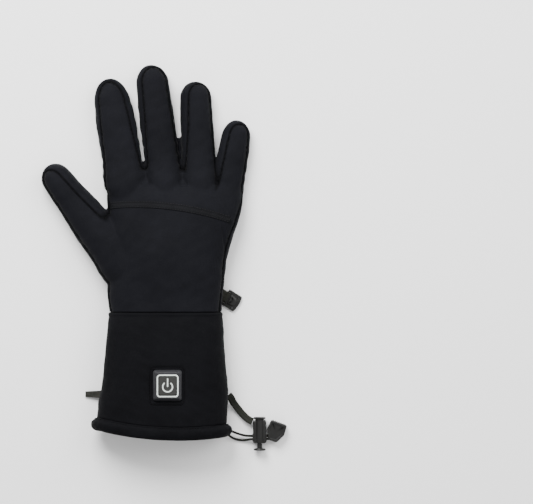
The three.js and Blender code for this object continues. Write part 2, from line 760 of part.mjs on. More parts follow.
const capPlate = capOutline(0, CAP_THICKNESS, capTop - CAP_THICKNESS);

// The power mark: a ring that is open at the top, and an upright bar in the gap. The recess that each
// lies in is a little longer than its stroke.
const RECESS_TURN = 20;
function strokeArc(radius, stroke, gap) {
  const shape = new THREE.Shape();
  const from = Math.PI / 2 + degrees(gap);
  const to = Math.PI / 2 + Math.PI * 2 - degrees(gap);
  shape.absarc(0, 0, radius + stroke / 2, from, to, false);
  shape.absarc(0, 0, radius - stroke / 2, to, from, true);
  return shape;
}
const ringShape = (grow) => strokeArc(MARK_RADIUS, MARK_STROKE + 2 * grow, MARK_GAP - RECESS_TURN * grow);
const barShape = (grow) =>
  roundedRectangle(MARK_STROKE + 2 * grow, MARK_BAR_LENGTH + 2 * grow, MARK_STROKE / 2);
const barMiddle = MARK_RADIUS + 2 * MARK_STROKE - MARK_BAR_LENGTH / 2;
const markFloor = capTop - MARK_HEIGHT / 2;
const onMark = (y, z) => onSwitch(z).multiply(placed(0, y - MARK_BELOW_MIDDLE, 0));
parts.power_ring = plate(ringShape(0), MARK_HEIGHT, onMark(0, markFloor));
parts.power_bar = plate(barShape(0), MARK_HEIGHT, onMark(barMiddle, markFloor));
const recessFloor = markFloor - INLAY_CLEARANCE;
parts.switch_cap = capPlate
  .subtract(plate(ringShape(INLAY_CLEARANCE), SWITCH_HEIGHT, onMark(0, recessFloor)))
  .subtract(plate(barShape(INLAY_CLEARANCE), SWITCH_HEIGHT, onMark(barMiddle, recessFloor)));

parts.cuff = largest(cuffOuter.subtract(cuffInner).subtract(zipWindow).subtract(switchPocket));

// The hem: a rolled band that carries the drawcord
function hemRing(along, proud, thickness) {
  const grow = proud * HEM_STANDS_PROUD - thickness;
  const half = cuffSection(1, 0);
  const xs = half.map(([x]) => x);
  const centre = (Math.max(...xs) + Math.min(...xs)) / 2;
  const halfWidth = (Math.max(...xs) - Math.min(...xs)) / 2 + grow;
  const thick = between(CUFF_SECTIONS, "along", "thick", 1) * CUFF_THICKNESS;
  const underneath = CUFF_LIFT * (1 - proud) + thickness;
  const points = section({
    left: halfWidth,
    right: halfWidth,
    top: CUFF_LIFT + thick + proud * HEM_PROUD_ABOVE - thickness,
    bottom: underneath - FLATTENED,
    middle: thick * CUFF_MIDDLE_SHARE,
    sides: thickness > 0 ? INSIDE_CUFF_SIDES : CUFF_SIDES,
    floor: underneath,
  });
  const y = CUFF_Y - CUFF_LENGTH - SEAM_GAP - along * HEM_LENGTH;
  return points.map(([x, z]) => new THREE.Vector3(centre + x, y + hemLine(centre + x), z));
}
const hemOuter = solid(loft(HEM_SECTIONS.map((row) => hemRing(row.along, row.proud, 0))));
const hemInner = solid(
  loft([
    hemRing(-OPEN_PAST / HEM_LENGTH, 0, WALL),
    hemRing(0, 0, WALL),
    hemRing(1, 0, WALL),
    hemRing(1 + OPEN_PAST / HEM_LENGTH, 0, WALL),
  ]),
);
parts.hem = largest(hemOuter.subtract(hemInner));

// The zip's slider and its pull tab, which hinges on the slider's bail
const sliderSlope = Math.atan2(
  cuffUnderside(SLIDER_X + SLIDER_LENGTH / 2, 0) - cuffUnderside(SLIDER_X - SLIDER_LENGTH / 2, 0),
  SLIDER_LENGTH,
);
// It lies just under the zip all along its length, which curves up beyond its ends.
const sliderReach = Array.from({ length: 9 }, (_, i) => (i / 8 - 0.5) * SLIDER_LENGTH);
const sliderTop =
  Math.min(...sliderReach.map((x) => cuffUnderside(SLIDER_X + x, 0) - Math.tan(sliderSlope) * x)) - SLIDER_GAP;
const onSlider = (x, z) =>
  placed(SLIDER_X, ZIP_Y, sliderTop, 0, THREE.MathUtils.radToDeg(-sliderSlope)).multiply(
    new THREE.Matrix4().makeTranslation(x, 0, z),
  );
const boreRadius = PIN_RADIUS + PIN_CLEARANCE;
const eyeRadius = boreRadius + EYE_WALL;
const pivot = new THREE.Vector3(-SLIDER_LENGTH / 2 - eyeRadius - PIVOT_CLEARANCE, 0, -SLIDER_HEIGHT / 2)
  .applyMatrix4(onSlider(0, 0));
const upright = new THREE.Matrix4().makeRotationX(Math.PI / 2);
const sliderBody = plate(
  roundedRectangle(SLIDER_LENGTH, SLIDER_WIDTH, SLIDER_CORNER),
  SLIDER_HEIGHT,
  onSlider(0, -SLIDER_HEIGHT),
);
const pin = solid(
  new THREE.CylinderGeometry(PIN_RADIUS, PIN_RADIUS, SLIDER_WIDTH, 10),
  new THREE.Matrix4().makeTranslation(pivot.x, pivot.y, pivot.z),
);
const earLength = EAR_OVERLAP + PIVOT_CLEARANCE + eyeRadius + EAR_END;
const earMiddle = EAR_OVERLAP - SLIDER_LENGTH / 2 - earLength / 2;
const ears = [-1, 1].map((side) =>
  box(
    earLength,
    EAR_WIDTH,
    SLIDER_HEIGHT,
    onSlider(earMiddle, -SLIDER_HEIGHT / 2).multiply(
      new THREE.Matrix4().makeTranslation(0, (side * (SLIDER_WIDTH - EAR_WIDTH)) / 2, 0),
    ),
  ),
);
parts.zip_slider = Manifold.union([sliderBody, pin, ...ears]);

const eyeWidth = SLIDER_WIDTH - 2 * (EAR_WIDTH + PIVOT_CLEARANCE);
const neckX = -EAR_END - 2 * PIVOT_CLEARANCE;
const shoulderX = neckX - PULLER_SHOULDER;
const pullerTilt = Math.asin((pivot.z - PULLER_THICKNESS / 2 - PULLER_RESTS_AT) / PULLER_LENGTH);
const pullerShape = new THREE.Shape([
  new THREE.Vector2(0, -eyeWidth / 2),
  new THREE.Vector2(0, eyeWidth / 2),
  new THREE.Vector2(neckX, eyeWidth / 2),
  new THREE.Vector2(shoulderX, PULLER_ROOT_WIDTH / 2),
  new THREE.Vector2(-PULLER_LENGTH, PULLER_END_WIDTH / 2),
  new THREE.Vector2(-PULLER_LENGTH, -PULLER_END_WIDTH / 2),
  new THREE.Vector2(shoulderX, -PULLER_ROOT_WIDTH / 2),
  new THREE.Vector2(neckX, -eyeWidth / 2),
]);
const onPuller = placed(pivot.x, ZIP_Y, pivot.z, 0, -THREE.MathUtils.radToDeg(pullerTilt));
const pullerBlade = plate(
  pullerShape,
  PULLER_THICKNESS,
  onPuller.clone().multiply(new THREE.Matrix4().makeTranslation(0, 0, -PULLER_THICKNESS / 2)),
);
const atPivot = new THREE.Matrix4().makeTranslation(pivot.x, ZIP_Y, pivot.z);
const pinBore = (radius, width) =>
  solid(new THREE.CylinderGeometry(radius, radius, width, 12), atPivot);
parts.zip_puller = pullerBlade
  .add(pinBore(eyeRadius, eyeWidth))
  .subtract(pinBore(boreRadius, SLIDER_WIDTH * 2));

// The clip: a plate with holes in its corners, a slot for the webbing and a domed tongue
const wristHalf = between(PALM_SECTIONS, "along", "right", (CLIP_Y - WRIST_Y) / PALM_LENGTH) * PALM_HALF_WIDTH;
const clipFrame = placed(wristHalf + SEAM_GAP, CLIP_Y, 0, CLIP_TURN);
const webbingRings = [
  { x: -WEBBING_INSIDE, z: WEBBING_RISE + CLIP_ABOVE_GROUND },
  ...WEBBING_ROWS.map((row) => ({
    x: row.along * (WEBBING_LENGTH + WEBBING_PAST_SLOT),
    z: row.up * WEBBING_RISE + CLIP_ABOVE_GROUND + SEAM_GAP,
  })),
].map(({ x, z }) =>
  [
    [-WEBBING_WIDTH / 2, 0],
    [WEBBING_WIDTH / 2, 0],
    [WEBBING_WIDTH / 2, WEBBING_THICKNESS],
    [-WEBBING_WIDTH / 2, WEBBING_THICKNESS],
  ].map(([y, up]) => new THREE.Vector3(x, y, z + up)),
);
parts.clip_webbing = largest(solid(loft(webbingRings), clipFrame).subtract(hand(SEAM_GAP)));
const clipStart = WEBBING_LENGTH - CLIP_SLOT;
const clipShape = new THREE.Shape();
const clipHalf = CLIP_WIDTH / 2;
clipShape.moveTo(0, -clipHalf);
clipShape.lineTo(CLIP_LENGTH - CLIP_BULGE, -clipHalf);
clipShape.quadraticCurveTo(CLIP_LENGTH + CLIP_BULGE, 0, CLIP_LENGTH - CLIP_BULGE, clipHalf);
clipShape.lineTo(0, clipHalf);
const clipAt = (x, y, z) =>
  clipFrame.clone().multiply(new THREE.Matrix4().makeTranslation(clipStart + x, y, CLIP_ABOVE_GROUND + z));
const clipHoles = [
  [CLIP_LENGTH - CLIP_BULGE - CLIP_HOLE_INSET, -clipHalf + CLIP_HOLE_INSET],
  [CLIP_LENGTH - CLIP_BULGE - CLIP_HOLE_INSET, clipHalf - CLIP_HOLE_INSET],
].map(([x, y]) =>
  solid(
    new THREE.CylinderGeometry(CLIP_HOLE_RADIUS, CLIP_HOLE_RADIUS, CLIP_THICKNESS * 3, 10),
    clipAt(x, y, 0).multiply(upright),
  ),
);
const clipMouth = box(
  2 * (CLIP_SLOT + WEBBING_PAST_SLOT + SEAM_GAP),
  WEBBING_WIDTH + 2 * SEAM_GAP,
  CLIP_THICKNESS * 3,
  clipAt(0, 0, 0),
);
const tongueShape = new THREE.Shape();
const tongueHalf = CLIP_TONGUE_WIDTH / 2;
const tongueBend = CLIP_TONGUE_FROM + CLIP_TONGUE_STRAIGHT;
tongueShape.moveTo(CLIP_TONGUE_FROM, -tongueHalf);
tongueShape.lineTo(tongueBend, -tongueHalf);
tongueShape.absarc(tongueBend, 0, tongueHalf, -Math.PI / 2, Math.PI / 2, false);
tongueShape.lineTo(CLIP_TONGUE_FROM, tongueHalf);
parts.clip = plate(clipShape, CLIP_THICKNESS, clipAt(0, 0, 0))
  .subtract(clipMouth)
  .subtract(Manifold.union(clipHoles))
  .add(
    plate(
      tongueShape,
      CLIP_TONGUE_HEIGHT,
      clipAt(0, 0, CLIP_THICKNESS - CLIP_TONGUE_BEVEL),
      CLIP_TONGUE_BEVEL,
    ),
  );

// A round cord or a flat strap along a route
function routed(points, shape, step) {
  const curve = new THREE.CatmullRomCurve3(points.map((p) => new THREE.Vector3(...p)));
  return new THREE.ExtrudeGeometry(shape, {
    steps: Math.ceil(curve.getLength() / step),
    extrudePath: curve,
    bevelEnabled: false,
  });
}
function flatStrap(points, width, thickness) {
  const curve = new THREE.CatmullRomCurve3(points.map((p) => new THREE.Vector3(...p)));
  const steps = Math.ceil(curve.getLength() / CORD_STEP);
  const rings = [];
  for (let i = 0; i <= steps; i++) {
    const at = curve.getPointAt(i / steps);
    const way = curve.getTangentAt(i / steps);
    const across = new THREE.Vector3(0, 0, 1).cross(way).normalize().multiplyScalar(width / 2);
    const up = way.clone().cross(across).normalize().multiplyScalar(thickness / 2);
    rings.push([
      at.clone().sub(across).sub(up),
      at.clone().sub(across).add(up),
      at.clone().add(across).add(up),
      at.clone().add(across).sub(up),
    ]);
  }
  return solid(loft(rings));
}
const cordShape = new THREE.Shape(
  Array.from({ length: CORD_SIDES }, (_, i) => {
    const turn = ((i + 0.5) / CORD_SIDES) * Math.PI * 2;
    return new THREE.Vector2(Math.cos(turn), Math.sin(turn)).multiplyScalar(CORD_DIAMETER / 2);
  }),
);
for (const [name, route] of Object.entries(CORD_ROUTES)) {
  parts[name] = solid(routed(route, cordShape, CORD_STEP));
}
parts.lock_strap = flatStrap(STRAP_ROUTE, STRAP_WIDTH, STRAP_THICKNESS);

// The cord lock: a barrel with a flange on either side, and a sprung plunger inside it
const lockEndY = LOCK_TOP_Y - LOCK_LENGTH;
const passageY = lockEndY + CORD_PASSAGE_FROM_END;
const lockAxis = (y) => new THREE.Matrix4().makeTranslation(LOCK_X, y, LOCK_AXIS_Z);
const lockCylinder = (radius, length, fromY, sides = 20) =>
  solid(new THREE.CylinderGeometry(radius, radius, length, sides), lockAxis(fromY + length / 2));
const passage = (clearance, extra) =>
  box(
    LOCK_FLANGE_WIDTH * 2,
    CORD_PITCH + CORD_DIAMETER + 2 * clearance + extra,
    CORD_DIAMETER + 2 * clearance,
    lockAxis(passageY - extra / 2),
  );
const strapSlot = box(
  2 * STRAP_SLOT_DEPTH,
  STRAP_WIDTH + 2 * STRAP_CLEARANCE,
  STRAP_THICKNESS + 2 * STRAP_CLEARANCE,
  lockAxis(LOCK_TOP_Y - STRAP_SLOT_FROM_TOP).multiply(
    new THREE.Matrix4().makeTranslation(-LOCK_FLANGE_WIDTH / 2, 0, 0),
  ),
);
parts.lock_body = Manifold.union([
  lockCylinder(LOCK_RADIUS, LOCK_LENGTH, lockEndY),
  lockCylinder(LOCK_DISC_RADIUS, LOCK_DISC_THICKNESS, LOCK_TOP_Y - LOCK_DISC_THICKNESS),
  box(
    LOCK_FLANGE_WIDTH,
    LOCK_LENGTH,
    LOCK_FLANGE_THICKNESS,
    lockAxis(lockEndY + LOCK_LENGTH / 2),
  ),
])
  .subtract(lockCylinder(LOCK_BORE_RADIUS, BORE_DEPTH + OPEN_PAST, lockEndY - OPEN_PAST, 16))
  .subtract(passage(CORD_CLEARANCE, 0))
  .subtract(strapSlot);
const headY = lockEndY - PLUNGER_NECK;
const stemFoot = headY - LOCK_DISC_THICKNESS / 2;
const stemLength = lockEndY + BORE_DEPTH - PLUNGER_TRAVEL - SPRING_ROOM - stemFoot;
parts.lock_plunger = Manifold.union([
  lockCylinder(PLUNGER_RADIUS, stemLength, stemFoot, 16),
  lockCylinder(LOCK_DISC_RADIUS, LOCK_DISC_THICKNESS, headY - LOCK_DISC_THICKNESS),
]).subtract(passage(CORD_CLEARANCE, PLUNGER_TRAVEL));

// The piece that the two cords end in: narrow where they go in, wide at its far end
const endShape = new THREE.Shape([
  new THREE.Vector2(-CORD_END_NARROW / 2, 0),
  new THREE.Vector2(CORD_END_NARROW / 2, 0),
  new THREE.Vector2(CORD_END_WIDTH / 2, CORD_END_SHOULDER),
  new THREE.Vector2(CORD_END_WIDTH / 2 - CORD_END_TAPER, CORD_END_LENGTH),
  new THREE.Vector2(-CORD_END_WIDTH / 2 + CORD_END_TAPER, CORD_END_LENGTH),
  new THREE.Vector2(-CORD_END_WIDTH / 2, CORD_END_SHOULDER),
]);
const endSocket = (route) => {
  const grown = new THREE.Shape(
    cordShape.getPoints().map((p) => p.multiplyScalar(1 + (2 * CORD_CLEARANCE) / CORD_DIAMETER)),
  );
  const last = new THREE.Vector3(...route[route.length - 1]);
  const before = new THREE.Vector3(...route[route.length - 2]);
  const past = last.clone().add(last.clone().sub(before).setLength(CORD_CLEARANCE));
  return solid(routed([...route, past.toArray()], grown, CORD_STEP));
};
parts.cord_end = plate(
  endShape,
  CORD_END_THICKNESS,
  placed(CORD_END_X, CORD_END_Y, 0, CORD_END_TURN),
  CORD_END_BEVEL,
).subtract(Manifold.union(Object.values(CORD_ROUTES).map(endSocket)));

// Colours and finishes, as the photograph shows them
const finishes = {
  softshell: { color: 0x1a1a1d, roughness: 0.78, metalness: 0 },
  palm_cloth: { color: 0x17181b, roughness: 0.7, metalness: 0 },
  touch_suede: { color: 0x1d1a17, roughness: 0.95, metalness: 0 },
  tape: { color: 0x111214, roughness: 0.85, metalness: 0 },
  hard_plastic: { color: 0x1c1c1b, roughness: 0.4, metalness: 0 },
  switch_rubber: { color: 0x2b2b2d, roughness: 0.6, metalness: 0 },
  switch_cap: { color: 0x3a3a38, roughness: 0.55, metalness: 0 },
  mark_white: { color: 0xdfe3de, roughness: 0.45, metalness: 0 },
  zip_coil: { color: 0x2a2a26, roughness: 0.6, metalness: 0 },
  slider_metal: { color: 0x3a3733, roughness: 0.35, metalness: 0.8 },
  elastic: { color: 0x22221f, roughness: 0.85, metalness: 0 },
};
const finishOf = {
  palm: "palm_cloth",
  touch_pad_index: "touch_suede",
  touch_pad_thumb: "touch_suede",
  knuckle_tape: "tape",
  switch_housing: "switch_rubber",
  switch_cap: "switch_cap",
  switch_outline: "mark_white",
  power_ring: "mark_white",
  power_bar: "mark_white",
  zip_tape: "zip_coil",
  zip_slider: "slider_metal",
  zip_puller: "hard_plastic",
  clip: "hard_plastic",
  clip_webbing: "elastic",
  lock_strap: "elastic",
  lock_body: "hard_plastic",
  lock_plunger: "hard_plastic",
  cord_end: "hard_plastic",
  hem_cord_upper: "elastic",
  hem_cord_lower: "elastic",
};
const materials = {};
for (const [name, look] of Object.entries(finishes)) {
  materials[name] = new THREE.MeshStandardMaterial({ name, ...look });
}

const glove = new THREE.Group();
glove.name = "heated_glove";
for (const [name, made] of Object.entries(parts)) {
  const mesh = new THREE.Mesh(geometryOf(made), materials[finishOf[name] ?? "softshell"]);
  mesh.name = name;
  glove.add(mesh);
}

export default glove;
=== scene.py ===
# %% [markdown]
# # A heated glove, laid palm down
# The glove lies on a pale table: a black softshell hand with strips beside the fingers, a printed palm,
# a long padded cuff with a power switch, and a drawcord with its lock at the hem.
# The CAD model is the fixed frame. Each piece below is worked out in millimetres and lies where its solid
# lies, so that it needs no fitting.

import math

import bpy
import numpy as np
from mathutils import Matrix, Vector
from mathutils.bvhtree import BVHTree


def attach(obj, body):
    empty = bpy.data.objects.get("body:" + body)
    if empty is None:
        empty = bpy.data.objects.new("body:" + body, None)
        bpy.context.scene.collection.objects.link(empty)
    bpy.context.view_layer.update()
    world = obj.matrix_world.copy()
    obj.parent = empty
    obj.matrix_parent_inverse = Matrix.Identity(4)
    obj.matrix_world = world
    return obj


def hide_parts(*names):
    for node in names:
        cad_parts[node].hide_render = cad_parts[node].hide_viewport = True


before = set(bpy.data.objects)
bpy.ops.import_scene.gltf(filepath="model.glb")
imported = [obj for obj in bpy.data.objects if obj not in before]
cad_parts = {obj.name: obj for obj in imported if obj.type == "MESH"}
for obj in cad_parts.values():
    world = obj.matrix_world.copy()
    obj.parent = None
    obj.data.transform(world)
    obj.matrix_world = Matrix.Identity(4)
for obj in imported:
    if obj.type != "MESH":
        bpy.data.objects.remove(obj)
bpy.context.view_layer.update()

# %% [markdown]
# ## Shapes from arrays
# Every shape is a grid of points: rings round a body, or a profile carried along a path. A shape here is
# a pair, its points and its sets of faces, so that shapes can be joined before they become one piece.
# Working on whole arrays keeps thousands of points quick and exact.

# %% Grids, rings and paths
MM = 0.001


def grid_faces(rows, columns, wrap=True):
    """Four-sided faces between each ring and the next; wrap joins the last column to the first."""
    row = np.arange(rows - 1)[:, None] * columns
    column = np.arange(columns if wrap else columns - 1)[None]
    after = (column + 1) % columns
    faces = [row + column, row + after, row + after + columns, row + column + columns]
    return np.stack(faces, -1).reshape(-1, 4)


def outward(points, face_sets):
    """Turns the faces round if the volume, the sum of corner triple products, comes out negative."""
    volume = 0
    for faces in face_sets:
        for k in range(1, faces.shape[1] - 1):
            a, b, c = points[faces[:, 0]], points[faces[:, k]], points[faces[:, k + 1]]
            volume += np.einsum("ij,ij->", a, np.cross(b, c))
    return points, [faces if volume > 0 else faces[:, ::-1] for faces in face_sets]


def closed_tube(rings):
    """A tube through rings of points, closed at either end by a fan to the middle of the ring."""
    rows, columns = rings.shape[:2]
    poles = np.stack([rings[0].mean(0), rings[-1].mean(0)])
    points = np.concatenate([rings.reshape(-1, 3), poles])
    here = np.arange(columns)
    after = (here + 1) % columns
    first = np.stack([after, here, np.full(columns, rows * columns)], 1)
    start = (rows - 1) * columns
    last = np.stack([start + here, start + after, np.full(columns, rows * columns + 1)], 1)
    return outward(points, [grid_faces(rows, columns), np.concatenate([first, last])])


def closed_ring(rings):
    """A tube whose last ring joins its first, as a rolled hem does."""
    rows, columns = rings.shape[:2]
    faces = grid_faces(rows + 1, columns) % (rows * columns)
    return outward(rings.reshape(-1, 3), [faces])


def joined(shapes):
    """Several shapes as one: points one after another, and faces counted on from each."""
    points, faces, start = [], [], 0
    for some_points, some_faces in shapes:
        points.append(some_points)
        faces += [f + start for f in some_faces]
        start += len(some_points)
    return np.concatenate(points), faces


def eased(at, knots, values):
    """A cubic through the knots: Hermite's blend of neighbouring values and their middle slopes."""
    knots, values, at = (np.asarray(v, float) for v in (knots, values, at))
    slope = np.gradient(values, knots, axis=0)
    i = np.clip(np.searchsorted(knots, at) - 1, 0, len(knots) - 2)
    span = knots[i + 1] - knots[i]
    t = np.clip((at - knots[i]) / span, 0, 1)
    if values.ndim > 1:
        t, span = t[..., None], span[..., None]
    rise = 3 * t**2 - 2 * t**3
    leaving = (t**3 - 2 * t**2 + t) * span * slope[i]
    arriving = (t**3 - t**2) * span * slope[i + 1]
    return values[i] * (1 - rise) + values[i + 1] * rise + leaving + arriving


def smooth_line(points, step):
    """A smooth line through a few points, stepped evenly by distance."""
    points = np.asarray(points, float)
    knots = np.concatenate([[0], np.cumsum(np.linalg.norm(np.diff(points, axis=0), axis=1))])
    dense = eased(np.linspace(0, knots[-1], 400), knots, points)
    walked = np.concatenate([[0], np.cumsum(np.linalg.norm(np.diff(dense, axis=0), axis=1))])
    even = np.linspace(0, walked[-1], max(2, int(round(walked[-1] / step)) + 1))
    return np.stack([np.interp(even, walked, dense[:, k]) for k in range(points.shape[1])], 1)


def along_path(path, profile, up=(0, 0, 1), scale=None):
    """Rings along a path: the point, plus across times the profile's x, plus up times its y."""
    tangent = np.gradient(path, axis=0)
    tangent /= np.linalg.norm(tangent, axis=1, keepdims=True)
    across = np.cross(tangent, np.asarray(up, float))
    across /= np.linalg.norm(across, axis=1, keepdims=True)
    lift = np.cross(across, tangent)
    size = np.ones(len(path)) if scale is None else scale
    profile = np.broadcast_to(profile, (len(path),) + np.shape(profile)[-2:]) * size[:, None, None]
    return path[:, None] + profile[..., :1] * across[:, None] + profile[..., 1:] * lift[:, None]


def circle(radius, count):
    turn = (np.arange(count) + 0.5) / count * 2 * math.pi
    return radius * np.stack([np.cos(turn), np.sin(turn)], 1)


def rounded(half_x, half_y, radius, corner=6):
    """A rectangle with round corners: a quarter turn round each corner's own middle."""
    quarter = np.linspace(0, math.pi / 2, corner)
    turn = (quarter[None] + np.arange(4)[:, None] * math.pi / 2).ravel()
    side_x = np.repeat([1, -1, -1, 1], corner) * (half_x - radius)
    side_y = np.repeat([1, 1, -1, -1], corner) * (half_y - radius)
    return np.stack([side_x + radius * np.cos(turn), side_y + radius * np.sin(turn)], 1)


def stacked(half_x, half_y, radius, levels, corner=6):
    """A plate: one rounded outline for each level, drawn in by its inset and set at its height."""
    rings = []
    for inset, height in levels:
        flat = rounded(half_x - inset, half_y - inset, max(radius - inset, 0.08), corner)
        rings.append(np.column_stack([flat, np.full(len(flat), height)]))
    return closed_tube(np.array(rings))


def turned(shape, origin, turn=0.0, tilt=0.0):
    """The shape tilted about Y, then turned about Z (degrees), then moved to its origin."""
    a, b = math.radians(turn), math.radians(tilt)
    about_z = np.array([[math.cos(a), -math.sin(a), 0], [math.sin(a), math.cos(a), 0], [0, 0, 1]])
    about_y = np.array([[math.cos(b), 0, math.sin(b)], [0, 1, 0], [-math.sin(b), 0, math.cos(b)]])
    return shape[0] @ (about_z @ about_y).T + np.asarray(origin, float), shape[1]


def lathe(profile, centre, sides=32):
    """A profile of (radius, place along Y) turned about an axis along Y through the centre."""
    turn = np.arange(sides) / sides * 2 * math.pi
    profile = np.asarray(profile, float)
    x = centre[0] + profile[:, :1] * np.cos(turn)
    z = centre[2] + profile[:, :1] * np.sin(turn)
    y = np.broadcast_to(profile[:, 1:], x.shape)
    return np.stack([x, y, z], -1)


print("shape helpers ready")

# %% From a shape to a piece of the glove


def new_mesh(name, points, face_sets):
    """Writes points and faces into a mesh as flat arrays; a face starts where the one before it ends."""
    mesh = bpy.data.meshes.new(name)
    face_sets = [f for f in face_sets if len(f)]
    corners = np.concatenate([f.ravel() for f in face_sets]).astype(np.int32)
    sizes = np.concatenate([np.full(len(f), f.shape[1]) for f in face_sets])
    mesh.vertices.add(len(points))
    mesh.vertices.foreach_set("co", (points * MM).astype(np.float32).ravel())
    mesh.loops.add(len(corners))
    mesh.loops.foreach_set("vertex_index", corners)
    mesh.polygons.add(len(sizes))
    starts = np.concatenate([[0], np.cumsum(sizes)[:-1]]).astype(np.int32)
    mesh.polygons.foreach_set("loop_start", starts)
    mesh.update(calc_edges=True)
    mesh.validate()
    return mesh


def piece(name, shape, finish, body="glove", stands_for=(), sharp=None):
    """Makes a shape a piece with its finish, and lets it ride on its CAD body."""
    mesh = new_mesh(name, *shape)
    mesh.shade_smooth()
    if sharp:
        mesh.set_sharp_from_angle(angle=math.radians(sharp))
    mesh.materials.append(finish)
    item = bpy.data.objects.new(name, mesh)
    bpy.context.scene.collection.objects.link(item)
    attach(item, body)
    if stands_for:
        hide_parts(*stands_for)
    print(f"{name}: {len(mesh.polygons)} faces on {body}")
    return item


# %% [markdown]
# ## Camera
# The photograph looks straight down at the glove from far away. A long lens keeps the fingers from
# swelling towards the camera. One pixel of the picture is 0.78 mm at the height of the seams.

# %% Camera straight above the table
PIXEL = 0.78
PICTURE_WIDTH = 533
CAMERA_ABOVE = 3600.0
SEAM_HEIGHT = 17.0
SENSOR = 36.0
FRAME_CENTRE = (77.6, -1.6)

lens = bpy.data.cameras.new("camera")
lens.sensor_width = SENSOR
lens.lens = SENSOR * CAMERA_ABOVE / (PIXEL * PICTURE_WIDTH)
lens.clip_end = 20
camera = bpy.data.objects.new("camera", lens)
camera.location = (FRAME_CENTRE[0] * MM, FRAME_CENTRE[1] * MM, (CAMERA_ABOVE + SEAM_HEIGHT) * MM)
bpy.context.scene.collection.objects.link(camera)
bpy.context.scene.camera = camera
print(f"camera: {lens.lens:.0f} mm lens")

# %% [markdown]
# ## Finishes
# Close to, softshell shows a fine knit, the palm a tighter one, suede a nap, and moulded plastic a faint
# grain. These are built once as shader node groups and used with different sizes. All of them read object
# coordinates, which every piece shares because its object sits at the origin.

# %% Node group for a knitted face


def group(name, inputs, outputs):
    """An empty shader group with number or vector inputs and its named outputs."""
    made = bpy.data.node_groups.new(name, "ShaderNodeTree")
    for label, value in inputs.items():
        made.interface.new_socket(label, in_out="INPUT", socket_type="NodeSocketFloat").default_value = value
    for label, kind in outputs.items():
        made.interface.new_socket(label, in_out="OUTPUT", socket_type="NodeSocket" + kind)
    return made, made.nodes.new("NodeGroupInput"), made.nodes.new("NodeGroupOutput")


def sums(tree, operation, *values):
    """A Math node whose inputs are numbers or other sockets."""
    node = tree.nodes.new("ShaderNodeMath")
    node.operation = operation
    for socket, value in zip(node.inputs, values):
        if isinstance(value, bpy.types.NodeSocket):
            tree.links.new(value, socket)
        else:
            socket.default_value = value
    return node.outputs[0]


def object_place(tree, per_metre):
    """Object coordinates, counted in repeats of a pattern."""
    place = tree.nodes.new("ShaderNodeTexCoord")
    scaled = tree.nodes.new("ShaderNodeVectorMath")
    scaled.operation = "SCALE"
    tree.links.new(place.outputs["Object"], scaled.inputs[0])
    if isinstance(per_metre, bpy.types.NodeSocket):
        tree.links.new(per_metre, scaled.inputs["Scale"])
    else:
        scaled.inputs["Scale"].default_value = per_metre
    return scaled.outputs[0]


def noise(tree, per_metre, detail=3.0, roughness=0.55):
    """Fractal noise on object coordinates, so many grains to the metre."""
    node = tree.nodes.new("ShaderNodeTexNoise")
    place = tree.nodes.new("ShaderNodeTexCoord")
    tree.links.new(place.outputs["Object"], node.inputs["Vector"])
    if isinstance(per_metre, bpy.types.NodeSocket):
        tree.links.new(per_metre, node.inputs["Scale"])
    else:
        node.inputs["Scale"].default_value = per_metre
    node.inputs["Detail"].default_value = detail
    node.inputs["Roughness"].default_value = roughness
    return node.outputs["Fac"]


# sin x cos y + sin y cos z + sin z cos x is a wave in all directions, so that cloth shows the same little
# loops on its flat and on its sides.
knit, knit_in, knit_out = group(
    "knit", {"Loops per metre": 2000.0, "Fuzz": 0.4}, {"Height": "Float", "Thread": "Float"}
)
split = knit.nodes.new("ShaderNodeSeparateXYZ")
knit.links.new(object_place(knit, sums(knit, "MULTIPLY", knit_in.outputs[0], 2 * math.pi)), split.inputs[0])
waves = [
    sums(
        knit,
        "MULTIPLY",
        sums(knit, "SINE", split.outputs[k]),
        sums(knit, "COSINE", split.outputs[(k + 1) % 3]),
    )
    for k in range(3)
]
loops = sums(knit, "ADD", sums(knit, "ADD", waves[0], waves[1]), waves[2])
fuzz = sums(knit, "MULTIPLY", noise(knit, 3200.0), knit_in.outputs["Fuzz"])
thread = sums(knit, "MULTIPLY_ADD", loops, 0.33, 0.5)
knit.links.new(sums(knit, "ADD", thread, fuzz), knit_out.inputs["Height"])
knit.links.new(thread, knit_out.inputs["Thread"])
print("group:", knit.name)

# %% Node group for handling marks, and one for moulded grain
marks, marks_in, marks_out = group("marks", {"Patches per metre": 30.0}, {"Mask": "Float"})
broad = noise(marks, marks_in.outputs[0], 4.0, 0.6)
fine = noise(marks, 900.0, 2.0)
blended = sums(marks, "MULTIPLY_ADD", fine, 0.35, sums(marks, "MULTIPLY", broad, 0.65))
contrast = sums(marks, "MULTIPLY_ADD", sums(marks, "SUBTRACT", blended, 0.5), 2.2, 0.5)
marks.links.new(sums(marks, "MINIMUM", sums(marks, "MAXIMUM", contrast, 0.0), 1.0), marks_out.inputs["Mask"])

grain, grain_in, grain_out = group("grain", {"Grains per metre": 2500.0}, {"Height": "Float", "Worn": "Float"})
grain.links.new(noise(grain, grain_in.outputs[0], 2.0), grain_out.inputs["Height"])
shape_node = grain.nodes.new("ShaderNodeNewGeometry")
edges = sums(grain, "MULTIPLY", sums(grain, "SUBTRACT", shape_node.outputs["Pointiness"], 0.52), 12.0)
patchy = sums(grain, "MULTIPLY", edges, noise(grain, 500.0, 3.0))
grain.links.new(sums(grain, "MINIMUM", sums(grain, "MAXIMUM", patchy, 0.0), 1.0), grain_out.inputs["Worn"])
print("groups:", marks.name, grain.name)

# %% A finish from its colours, pattern and gloss


